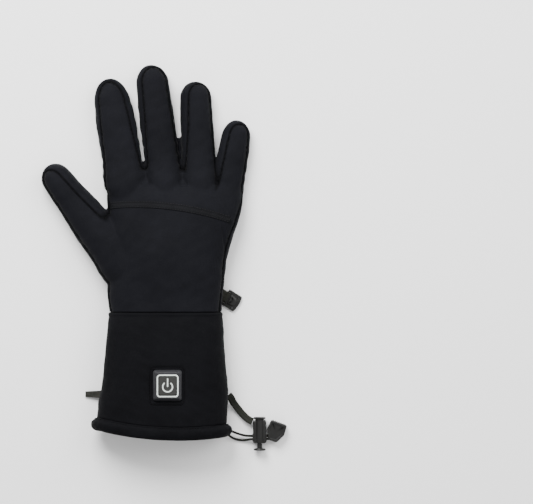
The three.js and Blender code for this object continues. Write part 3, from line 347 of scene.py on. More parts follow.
def finish(name, dark, light, roughness, bump=0.0, pattern=None, sizes=(), sheen=0.0, metallic=0.0, coat=0.0,
           specular=0.22):
    """One Principled material: two colours mixed by a mask, a roughness that varies with it, and a bump. A point
    attribute paints shade into seams by darkening the colour.
    """
    material = bpy.data.materials.new(name)
    material.use_nodes = True
    tree = material.node_tree
    shader = tree.nodes["Principled BSDF"]
    shader.inputs["Metallic"].default_value = metallic
    shader.inputs["Coat Weight"].default_value = coat
    shader.inputs["Coat Roughness"].default_value = 0.12
    shader.inputs["Sheen Weight"].default_value = sheen
    shader.inputs["Specular IOR Level"].default_value = specular if pattern is None else 0.035
    shader.inputs["Sheen Roughness"].default_value = 0.45
    patches = tree.nodes.new("ShaderNodeGroup")
    patches.node_tree = marks
    mask = patches.outputs["Mask"]
    relief = tree.nodes.new("ShaderNodeGroup")
    relief.node_tree = pattern or grain
    for socket, value in zip(relief.inputs, sizes):
        socket.default_value = value
    if pattern is None:
        mask = sums(tree, "MAXIMUM", sums(tree, "MULTIPLY", mask, 0.5), relief.outputs["Worn"])
    else:
        threads = sums(tree, "MULTIPLY", relief.outputs["Thread"], 0.4)
        mask = sums(tree, "MULTIPLY_ADD", mask, 0.6, threads)
    colours = tree.nodes.new("ShaderNodeMix")
    colours.data_type = "RGBA"
    colours.inputs[6].default_value = (*dark, 1)
    colours.inputs[7].default_value = (*light, 1)
    # Painted shade: a point's seam attribute darkens its colour, by up to 70 % on the seam line.
    seam = tree.nodes.new("ShaderNodeAttribute")
    seam.attribute_name = "seam_painted_shade"
    painted_shade_factor = sums(tree, "MULTIPLY_ADD", seam.outputs["Fac"], -0.7, 1.0)
    mask = sums(tree, "MULTIPLY", mask, painted_shade_factor)
    tree.links.new(mask, colours.inputs[0])
    shaded = tree.nodes.new("ShaderNodeVectorMath")
    shaded.operation = "SCALE"
    tree.links.new(colours.outputs[2], shaded.inputs[0])
    tree.links.new(painted_shade_factor, shaded.inputs["Scale"])
    tree.links.new(shaded.outputs[0], shader.inputs["Base Color"])
    rough = sums(tree, "MULTIPLY_ADD", mask, -0.12, roughness + 0.06)
    tree.links.new(rough, shader.inputs["Roughness"])
    if bump:
        raised = tree.nodes.new("ShaderNodeBump")
        raised.inputs["Strength"].default_value = 0.6
        raised.inputs["Distance"].default_value = bump * MM
        tree.links.new(relief.outputs["Height"], raised.inputs["Height"])
        tree.links.new(raised.outputs["Normal"], shader.inputs["Normal"])
    return material


softshell = finish(
    "softshell", (0.0027, 0.0028, 0.0036), (0.0070, 0.0072, 0.0094), 0.72, 0.12, knit, (1300.0, 0.5), sheen=0.02
)
# Painted shade: a darker copy of the softshell for the cuff and hem, so that they look less lit than the hand.
shaded_cuff_softshell = finish(
    "softshell_cuff_painted_shade", (0.0016, 0.0016, 0.0020), (0.0044, 0.0045, 0.0056), 0.76, 0.12, knit, (1300.0, 0.5), sheen=0.01
)
lining = finish("lining_fleece", (0.010, 0.010, 0.011), (0.022, 0.022, 0.024), 0.92, 0.3, knit, (700.0, 2.0), 0.08)
palm_cloth = finish("palm_cloth", (0.0055, 0.0056, 0.0062), (0.012, 0.012, 0.0135), 0.7, 0.08, knit, (1900.0, 0.3))
suede = finish("touch_suede", (0.016, 0.012, 0.010), (0.036, 0.029, 0.025), 0.95, 0.15, knit, (2600.0, 3.0), 0.05)
tape_cloth = finish("tape_cloth", (0.0030, 0.0031, 0.0034), (0.0078, 0.0080, 0.0092), 0.9, 0.2, knit, (900.0, 0.8))
thread_black = finish("thread", (0.0010, 0.0010, 0.0012), (0.0030, 0.0030, 0.0034), 0.6, 0.05, knit, (3500.0, 0.2))
cover_thread = finish("cover_thread", (0.006, 0.006, 0.0068), (0.016, 0.016, 0.018), 0.5, 0.05, knit, (3500.0, 0.2))
webbing = finish("webbing", (0.010, 0.0105, 0.0092), (0.030, 0.031, 0.026), 0.8, 0.16, knit, (1250.0, 0.3))
elastic = finish("elastic_cord", (0.0075, 0.0078, 0.0072), (0.022, 0.0225, 0.020), 0.7, 0.16, knit, (1700.0, 0.3))
print_silicone = finish(
    "silicone_print", (0.028, 0.029, 0.031), (0.21, 0.22, 0.23), 0.3, 0.03, None, (1500.0,), specular=0.5
)
plastic = finish(
    "moulded_plastic", (0.006, 0.006, 0.0058), (0.019, 0.019, 0.018), 0.3, 0.03, None, (2200.0,), coat=0.12
)
puller_plastic = finish("puller_plastic", (0.016, 0.016, 0.013), (0.030, 0.030, 0.025), 0.42, 0.05, None, (1800.0,))
rubber = finish("switch_rubber", (0.009, 0.009, 0.0105), (0.026, 0.026, 0.030), 0.42, 0.04, None, (2600.0,), coat=0.06)
cap_rubber = finish("switch_cap", (0.016, 0.016, 0.015), (0.030, 0.030, 0.028), 0.5, 0.04, None, (2600.0,))
white_mark = finish("mark_white", (0.50, 0.54, 0.51), (0.60, 0.64, 0.61), 0.4, 0.02, None, (2600.0,))
gunmetal = finish("slider_metal", (0.045, 0.043, 0.040), (0.16, 0.155, 0.15), 0.34, 0.02, None, (1800.0,), metallic=0.85)
coil_nylon = finish("zip_coil", (0.012, 0.0125, 0.010), (0.036, 0.037, 0.031), 0.5, 0.03, None, (2600.0,))
print("finishes:", len(bpy.data.materials))

# %% [markdown]
# ## Drawcord, lock and end piece
# An elastic cord runs inside the hem, and its two ends come out at the little finger's side. They pass
# through a spring lock, which a short ribbed strap ties to the cuff, and end in a moulded piece.
# A cord is a circle carried along its route. The routes are those of the CAD solids, point for point.

# %% Two cords along their routes
CORD_DIAMETER = 1.9
CORD_ROUTES = {
    "hem_cord_upper": [
        (48.9, -140.9, 8.9), (50.4, -141.7, 8.2), (52.2, -142.5, 7.0), (54.2, -143.3, 5.6),
        (56.4, -144.1, 4.5), (58.8, -144.8, 3.9), (61.4, -145.3, 3.9), (64.0, -145.5, 4.3),
        (66.6, -145.6, 4.7), (69.2, -145.6, 4.85), (71.8, -145.6, 4.85), (74.4, -145.6, 4.85),
        (77.0, -145.6, 4.8), (79.4, -145.5, 4.6), (81.8, -145.1, 4.3), (84.0, -144.4, 4.1),
    ],
    "hem_cord_lower": [
        (46.2, -143.2, 6.6), (47.5, -144.4, 5.6), (49.0, -145.7, 4.2), (50.9, -147.0, 2.7),
        (53.3, -148.1, 1.6), (56.1, -148.8, 1.2), (59.1, -149.0, 1.5), (62.0, -148.7, 2.5),
        (64.7, -148.2, 3.8), (67.2, -147.9, 4.7), (69.8, -147.9, 4.85), (72.4, -147.9, 4.85),
        (75.0, -147.9, 4.85), (77.6, -147.9, 4.75), (80.2, -147.7, 4.5), (82.8, -147.1, 4.2),
    ],
}
BRAID_STEP = 0.3
BRAID_SIDES = 20
BRAID_PITCH = 1.7
BRAID_DEPTH = 0.045


def braided(path):
    """A round cord: its radius ripples along two crossing spirals, as the strands of a braid do."""
    around = np.arange(BRAID_SIDES) / BRAID_SIDES * 2 * math.pi
    along = np.arange(len(path))[:, None] * BRAID_STEP / BRAID_PITCH * 2 * math.pi
    ripple = np.cos(5 * around + along) * np.cos(5 * around - along)
    radius = CORD_DIAMETER / 2 * (1 - BRAID_DEPTH + BRAID_DEPTH * ripple)
    ring = np.stack([radius * np.cos(around), radius * np.sin(around)], -1)
    return closed_tube(along_path(path, ring))


cords, cord_paths = {}, {}
for name, route in CORD_ROUTES.items():
    cord_paths[name] = smooth_line(route, BRAID_STEP)
    cords[name] = piece(name.replace("hem_cord", "drawcord"), braided(cord_paths[name]), elastic, stands_for=[name])

# %% A flat strap with two ribs
STRAP_ROUTE = [
    (48.1, -113.4, 9.7), (49.3, -114.8, 8.7), (50.4, -116.6, 7.2), (51.3, -118.7, 5.4), (53.2, -121.5, 3.9),
    (55.6, -124.7, 2.9), (58.3, -128.0, 2.8), (61.2, -130.9, 3.4), (64.0, -133.0, 4.3), (66.6, -134.3, 4.8),
]
STRAP_HALF_WIDTH = 2.8
STRAP_HALF_THICKNESS = 0.5
STRAP_RIB = 0.26

strap_across = np.concatenate([np.linspace(1, -1, 25), np.linspace(-1, 1, 25)])
strap_side = np.repeat([1.0, -1.0], 25)
strap_ribs = STRAP_RIB * np.abs(np.sin(math.pi * strap_across)) ** 0.7
strap_edge = (1 - np.abs(strap_across) ** 6) ** 0.5
strap_profile = np.stack(
    [strap_across * STRAP_HALF_WIDTH, strap_side * (STRAP_HALF_THICKNESS + strap_ribs) * strap_edge], 1
)
strap_path = smooth_line(STRAP_ROUTE, 0.5)
picks = 1 + 0.02 * np.cos(np.arange(len(strap_path)) * math.pi)
lock_strap = piece(
    "ribbed_strap", closed_tube(along_path(strap_path, strap_profile, scale=picks)), webbing,
    stands_for=["lock_strap"],
)

# %% [markdown]
# The lock is a barrel with a disc on top and a flange on either side. A sprung plunger slides in its bore
# and pinches the cords. Turned parts are a profile swept about the lock's axis. The plunger's stem has a
# window for the cords, so it is made of a foot, two prongs past the window, and a head inside the bore.

# %% Lock and plunger
LOCK_X = 72.2
LOCK_Z = 4.85
LOCK_TOP = -130.6
LOCK_END = -151.2
LOCK_CENTRE = (LOCK_X, 0.0, LOCK_Z)

barrel = closed_tube(
    lathe(
        [
            (0.05, LOCK_END + 14.8), (2.3, LOCK_END + 14.8), (2.35, LOCK_END + 14.6), (2.35, LOCK_END + 0.35),
            (2.6, LOCK_END), (3.2, LOCK_END), (3.5, LOCK_END + 0.3), (3.5, LOCK_END + 1.6),
            (3.8, LOCK_END + 1.8), (3.8, LOCK_END + 2.7), (3.5, LOCK_END + 2.9), (3.5, LOCK_TOP - 2.2),
            (3.9, LOCK_TOP - 1.75), (4.5, LOCK_TOP - 1.6), (4.75, LOCK_TOP - 1.35), (4.75, LOCK_TOP - 0.5),
            (4.45, LOCK_TOP - 0.18), (3.4, LOCK_TOP - 0.05), (3.2, LOCK_TOP - 0.12), (0.05, LOCK_TOP - 0.12),
        ],
        LOCK_CENTRE,
        40,
    )
)
flange_levels = [(0.9, -2.2), (0.35, -2.05), (0, -1.7), (0, 1.7), (0.35, 2.05), (0.9, 2.2)]
flange_middle = (LOCK_X, (LOCK_TOP - 2.6 + LOCK_END) / 2, LOCK_Z)
flange = turned(stacked(5.2, (LOCK_TOP - 2.6 - LOCK_END) / 2, 1.4, flange_levels), flange_middle)
collar_levels = [(0.3, -2.6), (0, -2.3), (0, 2.3), (0.3, 2.6)]
collars = [
    turned(stacked(0.55, 3.1, 0.5, collar_levels, 4), (LOCK_X + side * 5.0, -146.75, LOCK_Z)) for side in (-1, 1)
]
lock_body = piece(
    "lock_barrel", joined([barrel, flange, *collars]), plastic, stands_for=["lock_body"], sharp=32
)

PLUNGER_RADIUS = 2.0
WINDOW = (-151.62, -144.38)
PRONG_INSIDE = 1.27
head = closed_tube(
    lathe(
        [
            (0.05, -157.0), (3.9, -157.0), (4.55, -156.85), (4.75, -156.5), (4.75, -155.9), (4.5, -155.5),
            (3.6, -155.35), (2.3, -155.2), (PLUNGER_RADIUS, -154.8), (PLUNGER_RADIUS, WINDOW[0]),
            (0.05, WINDOW[0]),
        ],
        LOCK_CENTRE,
        40,
    )
)
guide = closed_tube(
    lathe(
        [(0.05, WINDOW[1]), (PLUNGER_RADIUS, WINDOW[1]), (PLUNGER_RADIUS, -139.7), (1.7, -139.4), (0.05, -139.4)],
        LOCK_CENTRE,
        40,
    )
)
prong_turn = np.linspace(math.asin(PRONG_INSIDE / PLUNGER_RADIUS), math.pi - math.asin(PRONG_INSIDE / PLUNGER_RADIUS), 12)
prongs = []
for side in (1, -1):
    x = LOCK_X + PLUNGER_RADIUS * np.cos(prong_turn)
    z = LOCK_Z + side * PLUNGER_RADIUS * np.sin(prong_turn)
    ends = [np.stack([x, np.full(12, y), z], 1) for y in (WINDOW[0] - 0.1, WINDOW[1] + 0.1)]
    prongs.append(closed_tube(np.array(ends)))
lock_plunger = piece(
    "lock_button", joined([head, guide, *prongs]), plastic, "lock_plunger", ["lock_plunger"], 32
)

# %% The moulded end of the cords
END_AT = (82.2, -149.6, 0.0)
END_TURN = -20
END_LENGTH = 15.4
END_THICKNESS = 7.6
END_CORNERS = [(-3.3, 0), (3.3, 0), (7.2, 7.4), (6.6, 15.4), (-6.6, 15.4), (-7.2, 7.4)]


def round_corners(corners, radius, steps=6):
    """A polygon whose corners are bent: from a radius before each corner to a radius past it."""
    corners = np.asarray(corners, float)
    before = corners - np.roll(corners, 1, axis=0)
    past = np.roll(corners, -1, axis=0) - corners
    start = corners - radius * before / np.linalg.norm(before, axis=1, keepdims=True)
    end = corners + radius * past / np.linalg.norm(past, axis=1, keepdims=True)
    t = np.linspace(0, 1, steps)[None, :, None]
    bent = (1 - t) ** 2 * start[:, None] + 2 * t * (1 - t) * corners[:, None] + t**2 * end[:, None]
    return bent.reshape(-1, 2)


def drawn_in(outline, inset):
    """Each point moved inwards: along the middle of its two edges' normals, by the inset."""
    edge = np.roll(outline, -1, axis=0) - outline
    normal = np.stack([-edge[:, 1], edge[:, 0]], 1)
    normal /= np.linalg.norm(normal, axis=1, keepdims=True)
    middle = normal + np.roll(normal, 1, axis=0)
    middle /= np.linalg.norm(middle, axis=1, keepdims=True)
    area = np.sum(outline[:, 0] * np.roll(outline[:, 1], -1) - np.roll(outline[:, 0], -1) * outline[:, 1])
    return outline + (inset if area > 0 else -inset) * middle


def plate_of(outline, levels):
    """A plate with any outline: drawn in by each level's inset, at each level's height."""
    rings = [
        np.column_stack([drawn_in(outline, inset), np.full(len(outline), height)]) for inset, height in levels
    ]
    return closed_tube(np.array(rings))


end_outline = round_corners(END_CORNERS, 1.4)
end_levels = [
    (1.2, 0.05), (0.5, 0.12), (0.1, 0.5), (0, 1.0), (0, 6.6), (0.15, 7.1), (0.5, 7.5), (1.0, 7.6),
    (1.7, 7.6), (1.9, 7.45), (2.0, 7.1), (2.4, 7.05),
]
end_block = turned(plate_of(end_outline, end_levels), END_AT, END_TURN)
RIB_COUNT = 7
ribs = []
for k in range(RIB_COUNT):
    across = (k - (RIB_COUNT - 1) / 2) * 1.62
    rib = stacked(0.42, 0.5, 0.3, [(0.1, 0.9), (0, 1.1), (0, 6.3), (0.1, 6.5)], 3)
    ribs.append(turned(turned(rib, (across, END_LENGTH - 0.05, 0)), END_AT, END_TURN))
cord_end = piece(
    "cord_end_block", joined([end_block, *ribs]), plastic, stands_for=["cord_end"], sharp=40
)

for name, item in cords.items():
    path = cord_paths[name] * MM
    length = float(np.linalg.norm(np.diff(path, axis=0), axis=1).sum())
    print(f"{name}: {length * 1000:.1f} mm long")

# %% [markdown]
# ## The hand
# A sewn glove is a back, a palm and strips between them. No single grid covers five digits and their webs,
# so the hand starts as six closed tubes, the palm and the digits, with rounded sections pressed flat on
# the table. A voxel remesh fuses them into one skin. The seams, folds and puckers are then worked out for
# all its points at once, and the skin is cut along the seams into its panels.

# %% Rounded sections, pressed flat underneath
ROUND_ABOVE = 2.3
ROUND_BELOW = 2.9
PRESSED = 0.9
CLOTH_CLEARS_TABLE = 0.45


def cross_sections(left, right, top, bottom, middle, floor, sides):
    """Superellipses: the 2.3rd power above the middle and the 2.9th below, cut off at the floor."""
    turn = (np.arange(sides) + 0.5) / sides * 2 * math.pi
    cos, sin = np.cos(turn), np.sin(turn)
    left, right, top, bottom, middle, floor = (
        np.atleast_1d(v).astype(float)[:, None] for v in (left, right, top, bottom, middle, floor)
    )
    power = np.where(sin > 0, 2 / ROUND_ABOVE, 2 / ROUND_BELOW)
    across = np.sign(cos) * np.abs(cos) ** power * np.where(cos > 0, right, left)
    up = np.abs(sin) ** power * np.where(sin > 0, top - middle, bottom - middle)
    return across, np.maximum(floor, middle + up)


WRIST_Y = -48.0
PALM_LENGTH = 98.0
PALM_HALF_WIDTH = 54.5
PALM_THICKNESS = 33.0
PALM_MIDDLE = 0.44
# Along the palm from the wrist: shares of the half width on either side, and of the thickness
PALM_ALONG = [0.0, 0.1, 0.22, 0.4, 0.58, 0.76, 0.93, 1.0]
PALM_LEFT = [0.83, 0.855, 0.85, 0.8, 0.81, 0.845, 0.87, 0.86]
PALM_RIGHT = [0.775, 0.79, 0.815, 0.85, 0.945, 1.045, 1.08, 1.06]
PALM_THICK = [1.0, 1.0, 1.02, 1.03, 1.0, 0.91, 0.78, 0.7]


def palm_tube(stations=90, sides=120):
    """The palm: sections along Y whose sides and thickness follow the table above."""
    along = np.linspace(-0.04, 1, stations)
    at = np.clip(along, 0, 1)
    thickness = eased(at, PALM_ALONG, PALM_THICK) * PALM_THICKNESS
    across, up = cross_sections(
        eased(at, PALM_ALONG, PALM_LEFT) * PALM_HALF_WIDTH,
        eased(at, PALM_ALONG, PALM_RIGHT) * PALM_HALF_WIDTH,
        thickness, -PRESSED, thickness * PALM_MIDDLE, CLOTH_CLEARS_TABLE, sides,
    )
    y = np.broadcast_to((WRIST_Y + along * PALM_LENGTH)[:, None], across.shape)
    return closed_tube(np.stack([across, y, up], -1))


# Each digit: the middle of its root, its lean towards the thumb in degrees, and its sizes
DIGITS = {
    "index": dict(root=(-34.8, 66), lean=9.4, length=69.0, half=15.6, thick=20.5, tip=21.0),
    "middle": dict(root=(-3.2, 65), lean=7.3, length=80.3, half=13.7, thick=21.0, tip=15.5),
    "ring": dict(root=(24.6, 65), lean=2.4, length=67.0, half=13.1, thick=20.0, tip=13.5),
    "little": dict(root=(47.3, 49), lean=-9.2, length=53.2, half=12.1, thick=18.5, tip=13.0),
    "thumb": dict(root=(-32.9, -13), lean=38, length=99.8, half=18.7, thick=29.0, tip=13.0),
}
FINGER_TABLE = dict(along=[-0.5, -0.16, 0, 0.3, 0.6], width=[0.72, 1.08, 1.02, 1, 0.98], thick=[1.1, 1.18, 1.08, 1, 0.95])
THUMB_TABLE = dict(
    along=[-0.3, 0, 0.22, 0.48, 0.68], width=[0.6, 1.03, 0.93, 0.83, 0.71], thick=[0.85, 1, 0.95, 0.83, 0.74]
)
TIP_WIDTH = {"finger": 0.93, "thumb": 0.63}
TIP_THICK = {"finger": 0.88, "thumb": 0.7}
DIGIT_MIDDLE = 0.43


def digit_table(name, key):
    """The table's places and values along a digit, with the start of the rounded tip added."""
    d, kind = DIGITS[name], "thumb" if name == "thumb" else "finger"
    table = THUMB_TABLE if kind == "thumb" else FINGER_TABLE
    last = TIP_WIDTH[kind] if key == "width" else TIP_THICK[kind]
    return table["along"] + [1 - d["tip"] / d["length"]], table[key] + [last]


def digit_place(name, x, y):
    """Distances along and across a digit from the middle of its root."""
    d = DIGITS[name]
    lean = math.radians(d["lean"])
    dx, dy = x - d["root"][0], y - d["root"][1]
    return dy * math.cos(lean) - dx * math.sin(lean), dx * math.cos(lean) + dy * math.sin(lean)


def digit_tube(name, stations=60, tip_rings=22, sides=64):
    """A digit: sections along its line, then a tip whose sections shrink as the sine of a quarter turn."""
    d = DIGITS[name]
    places, widths = digit_table(name, "width")
    thicks = digit_table(name, "thick")[1]
    share = np.linspace(places[0], places[-1], stations)
    quarter = np.linspace(math.pi / 2, 0.05, tip_rings)[1:]
    distance = np.concatenate([share * d["length"], d["length"] - d["tip"] + d["tip"] * np.cos(quarter)])
    half = d["half"] * np.concatenate([eased(share, places, widths), np.full(tip_rings - 1, widths[-1])])
    thick = d["thick"] * np.concatenate([eased(share, places, thicks), np.full(tip_rings - 1, thicks[-1])])
    shrink = np.concatenate([np.ones(stations), np.sin(quarter)])
    middle = thick * DIGIT_MIDDLE
    across, up = cross_sections(
        half * shrink, half * shrink, middle + (thick - middle) * shrink,
        middle - (middle + PRESSED) * shrink, middle, CLOTH_CLEARS_TABLE, sides,
    )
    lean = math.radians(d["lean"])
    x = d["root"][0] - math.sin(lean) * distance[:, None] + math.cos(lean) * across
    y = d["root"][1] + math.cos(lean) * distance[:, None] + math.sin(lean) * across
    return closed_tube(np.stack([x, y, up], -1))


# The cloth between two fingers: where its edge lies, its lean, half width, length and thickness
WEBS = [
    ((-18.0, 63.6), 7.5, 3.6, 18.0, 16.5),
    ((11.6, 63.4), 5.0, 4.0, 18.0, 17.0),
    ((9.5, 88.3), 5.7, 1.7, 28.0, 8.6),
    ((-19.0, 57.5), 7.5, 7.5, 24.0, 20.5),
    ((11.0, 57.0), 5.0, 7.5, 24.0, 20.5),
    ((36.8, 43.0), -3.0, 6.0, 14.0, 16.0),
    ((36.6, 48.6), -4.0, 3.6, 18.0, 16.0),
]


def web_tube(edge, lean, half_width, length, thickness):
    """A short rounded bar that fills the fork between two fingers up to its edge."""
    turn = np.linspace(0, 1.5, 9)[1:]
    back = np.concatenate([np.linspace(length, half_width, 6), half_width * (1 - np.sin(turn))])
    shrink = np.concatenate([np.ones(6), np.cos(turn)])
    middle = thickness / 2
    across, up = cross_sections(
        half_width * shrink, half_width * shrink, middle + middle * shrink, middle - middle * shrink, middle,
        CLOTH_CLEARS_TABLE, 24,
    )
    a = math.radians(lean)
    x = edge[0] + math.sin(a) * back[:, None] + math.cos(a) * across
    y = edge[1] - math.cos(a) * back[:, None] + math.sin(a) * across
    return closed_tube(np.stack([x, y, up], -1))


# %% Fuse the tubes into one skin
SKIN_VOXEL = 0.75
SKIN_SMOOTHING = 18


def fused(shapes, voxel, smoothing):
    """Closed bodies as one skin of triangles: a voxel remesh, then a few rounds of evening out."""
    item = bpy.data.objects.new("fused", new_mesh("fused", *joined(shapes)))
    bpy.context.scene.collection.objects.link(item)
    remesh = item.modifiers.new("remesh", "REMESH")
    remesh.mode = "VOXEL"
    remesh.voxel_size = voxel * MM
    smooth = item.modifiers.new("smooth", "SMOOTH")
    smooth.factor = 0.5
    smooth.iterations = smoothing
    evaluated = item.evaluated_get(bpy.context.evaluated_depsgraph_get())
    mesh = evaluated.to_mesh()
    mesh.calc_loop_triangles()
    points = np.empty(len(mesh.vertices) * 3, np.float32)
    mesh.vertices.foreach_get("co", points)
    triangles = np.empty(len(mesh.loop_triangles) * 3, np.int32)
    mesh.loop_triangles.foreach_get("vertices", triangles)
    evaluated.to_mesh_clear()
    bpy.data.objects.remove(item)
    return points.reshape(-1, 3).astype(float) / MM, triangles.reshape(-1, 3).astype(np.int64)


def normals_of(points, triangles):
    """The normal at each point: its triangles' cross products added up, then made one long."""
    a, b, c = (points[triangles[:, k]] for k in range(3))
    across = np.cross(b - a, c - a)
    total = np.stack(
        [
            sum(np.bincount(triangles[:, k], across[:, axis], len(points)) for k in range(3))
            for axis in range(3)
        ],
        1,
    )
    return total / np.maximum(np.linalg.norm(total, axis=1, keepdims=True), 1e-9)


bodies = [palm_tube(), *(digit_tube(name) for name in DIGITS), *(web_tube(*web) for web in WEBS)]
skin, skin_faces = fused(bodies, SKIN_VOXEL, SKIN_SMOOTHING)
skin_normals = normals_of(skin, skin_faces)
print("hand's skin:", len(skin), "points,", len(skin_faces), "triangles")

# %% [markdown]
# The seams are found as the zero line of a field over the plan. For each digit the field is the distance
# to its flank or its tip, less the width of the strip on that side. The fields of the palm and the digits
# are merged by a smooth maximum, which rounds the webs as the real strips are rounded there.

# %% Fields whose zero lines are the seams
WEB_ROUND = 4.0
THUMB_ROUND = 13.0
ROOT_STRIP = {"index": 0.4, "middle": 0.4, "ring": 0.42, "little": 0.8, "thumb": 1.0}
WEB_FRONT = [58.0, 62.6, 62.6, 61.6, 52.0, 45.0, 46.0]


def digit_field(name, x, y, left, right, tip):
    """How far a place is inside a digit's panel: the nearer flank, or an ellipse at the tip."""
    d = DIGITS[name]
    along, across = digit_place(name, x, y)
    places, widths = digit_table(name, "width")
    half = eased(along / d["length"], places, widths) * d["half"]
    narrow = np.interp(along / d["length"], [0.0, 0.5], [ROOT_STRIP[name], 1.0])
    left, right = left * narrow, right * narrow
    flank = np.minimum(half + across - left, half - across - right)
    tip_from, tip_long = d["length"] - d["tip"], d["tip"] - tip
    tip_half = widths[-1] * d["half"] - (left + right) / 2
    round_tip = 1 - np.hypot((along - tip_from) / tip_long, (across - (left - right) / 2) / tip_half)
    inside = np.where(along > tip_from, np.minimum(flank, round_tip * np.minimum(tip_half, tip_long)), flank)
    return np.minimum(inside, along - places[0] * d["length"])


def palm_field(x, y, left, right):
    """How far a place is inside the palm's panel: the nearer side, and no further than the digits' roots."""
    at = np.clip((y - WRIST_Y) / PALM_LENGTH, 0, 1)
    from_left = x + eased(at, PALM_ALONG, PALM_LEFT) * PALM_HALF_WIDTH - left
    from_right = eased(at, PALM_ALONG, PALM_RIGHT) * PALM_HALF_WIDTH - x - right
    front = np.interp(x, [-26, -18, -3, 12, 24, 37, 48], WEB_FRONT)
    return np.minimum(np.minimum(from_left, from_right), front - y)


def merged(a, b, blend=WEB_ROUND):
    """The larger of two fields, rounded by a parabola where they are within the blend of each other."""
    near = np.maximum(blend - np.abs(a - b), 0) / blend
    return np.maximum(a, b) + near**2 * blend / 4


def panel_field(x, y, strips, palm_left, palm_right):
    field = palm_field(x, y, palm_left, palm_right)
    for name, (left, right, tip) in strips.items():
        blend = np.interp(y, [-15, 10], [1.0, THUMB_ROUND]) if name == "thumb" else WEB_ROUND
        field = merged(field, digit_field(name, x, y, left, right, tip), blend)
    return field


# Widths of the strips beside each digit as seen from the back, then from the palm: left, right, tip
BACK_STRIPS = {
    "index": (3.9, 4.3, 2.7), "middle": (4.4, 1.6, 2.1), "ring": (6.4, 1.3, 2.1), "little": (5.8, 1.3, 2.6),
    "thumb": (1.7, 7.4, 3.2),
}
PALM_STRIPS = {
    "index": (3.6, 3.6, 3.4), "middle": (3.6, 3.2, 3.0), "ring": (3.6, 3.2, 3.0), "little": (3.4, 3.4, 3.0),
    "thumb": (7.0, 3.4, 3.6),
}
SEAM_BACK_ABOVE = 7.5
SEAM_PALM_BELOW = 6.0


def back_seam(p):
    right = np.interp(p[:, 1], [-48, -12, 8, 24, 44], [1.3, 1.4, 3.0, 2.8, 1.8])
    field = panel_field(p[:, 0], p[:, 1], BACK_STRIPS, 1.4, right)
    return np.minimum(field, (p[:, 2] - SEAM_BACK_ABOVE) * 0.8)


def palm_seam(p):
    heel = np.interp(p[:, 1], [-52, -40, -23, -4, 6], [15.2, 13.4, 8.0, 4.0, 4.0])
    field = panel_field(p[:, 0], p[:, 1], PALM_STRIPS, heel, 3.4)
    return np.minimum(field, (SEAM_PALM_BELOW - p[:, 2]) * 0.8)


KNUCKLE_CENTRE = (-24.66, -199.56)
KNUCKLE_RADIUS = 235.0


def past_knuckles(p):
    """Positive towards the fingertips from the knuckle arc, and only on the fingers' side of the thumb."""
    arc = np.hypot(p[:, 0] - KNUCKLE_CENTRE[0], p[:, 1] - KNUCKLE_CENTRE[1]) - KNUCKLE_RADIUS
    return np.minimum(arc, p[:, 0] + 49.5 + (p[:, 1] - 20) * 0.26)


# %% Folds, puckers and the pull of the seams


def ripple(points, wavelength, seed, waves=10):
    """Soft lumps: plane waves in random directions, added up. The seed keeps them the same each run."""
    random = np.random.default_rng(seed)
    way = random.normal(size=(waves, 3))
    way *= 2 * math.pi / wavelength * random.uniform(0.7, 1.3, (waves, 1)) / np.linalg.norm(way, axis=1, keepdims=True)
    return np.cos(points @ way.T + random.uniform(0, 2 * math.pi, waves)).sum(1) / math.sqrt(waves)


def to_segment(x, y, start, end):
    """Distance in plan to a straight line between two places, and the share of the way along it."""
    (ax, ay), (bx, by) = start, end
    share = np.clip(((x - ax) * (bx - ax) + (y - ay) * (by - ay)) / ((bx - ax) ** 2 + (by - ay) ** 2), 0, 1)
    return np.hypot(x - ax - share * (bx - ax), y - ay - share * (by - ay)), share


def seam_pull(field, normals, depth, width, p):
    """A sewn seam draws the cloth in: deepest on the line, fading as e to the minus distance."""
    steep = np.maximum(np.abs(normals[:, 2]), 0.2)
    gathers = 1 + 0.28 * ripple(p, 3.4, 5)
    return -depth * gathers * np.exp(-np.abs(field) / steep / width)


# Long soft folds on the back (start, end, height, width), raised above or sunk below the cloth
FOLDS = [
    ((36, 47), (51, 18), 0.9, 2.6),
    ((43, 21), (46, -2), -0.8, 1.1),
    ((38, 40), (47, 22), -0.5, 1.6),
    ((-30, 22), (-46, -2), 0.5, 5.0),
    ((-42, 4), (-38, -30), -0.35, 3.5),
    ((-22, 52), (-25, 36), -0.3, 4.5),
    ((9, 52), (7, 38), -0.3, 4.5),
]


def worn_shape(p, normals):
    """How far each point of the skin moves along its normal."""
    x, y, z = p.T
    top = np.clip((z - 9) / 5, 0, 1)
    move = 0.28 * ripple(p, 30, 1) + 0.1 * ripple(p, 10, 2)
    move += seam_pull(back_seam(p), normals, 1.15, 0.95, p)
    move += seam_pull(palm_seam(p), normals, 0.45, 0.7, p) * (z > 0.8)
    for start, end, height, width in FOLDS:
        away, share = to_segment(x, y, start, end)
        move += top * height * np.exp(-((away / width) ** 2)) * np.sin(math.pi * np.clip(share, 0.08, 0.92))
    # Finger roots and the strips beside them pucker where the thread is drawn tight.
    side = np.clip(1.15 - np.abs(normals[:, 2]), 0, 1)
    for name, (left, right, reach) in {
        "index": (1.0, 0.7, 0.5), "middle": (0.7, 0.6, 0.35), "ring": (0.6, 0.6, 0.4), "little": (0.6, 0.7, 0.5),
        "thumb": (0.3, 0.8, 0.4),
    }.items():
        along, across = digit_place(name, x, y)
        d = DIGITS[name]
        near = np.exp(-(((along / d["length"]) - 0.12) / reach) ** 2) * (np.abs(across) < d["half"] * 1.25)
        wave = np.sin(along / 5.2 * math.pi + 2.2 * np.sin(along / 11.0) + np.sign(across) + z * 0.12)
        move += 0.24 * np.where(across < 0, left, right) * near * side * wave
    flat = np.clip((z - 0.7) / 1.6, 0, 1)
    return move * flat


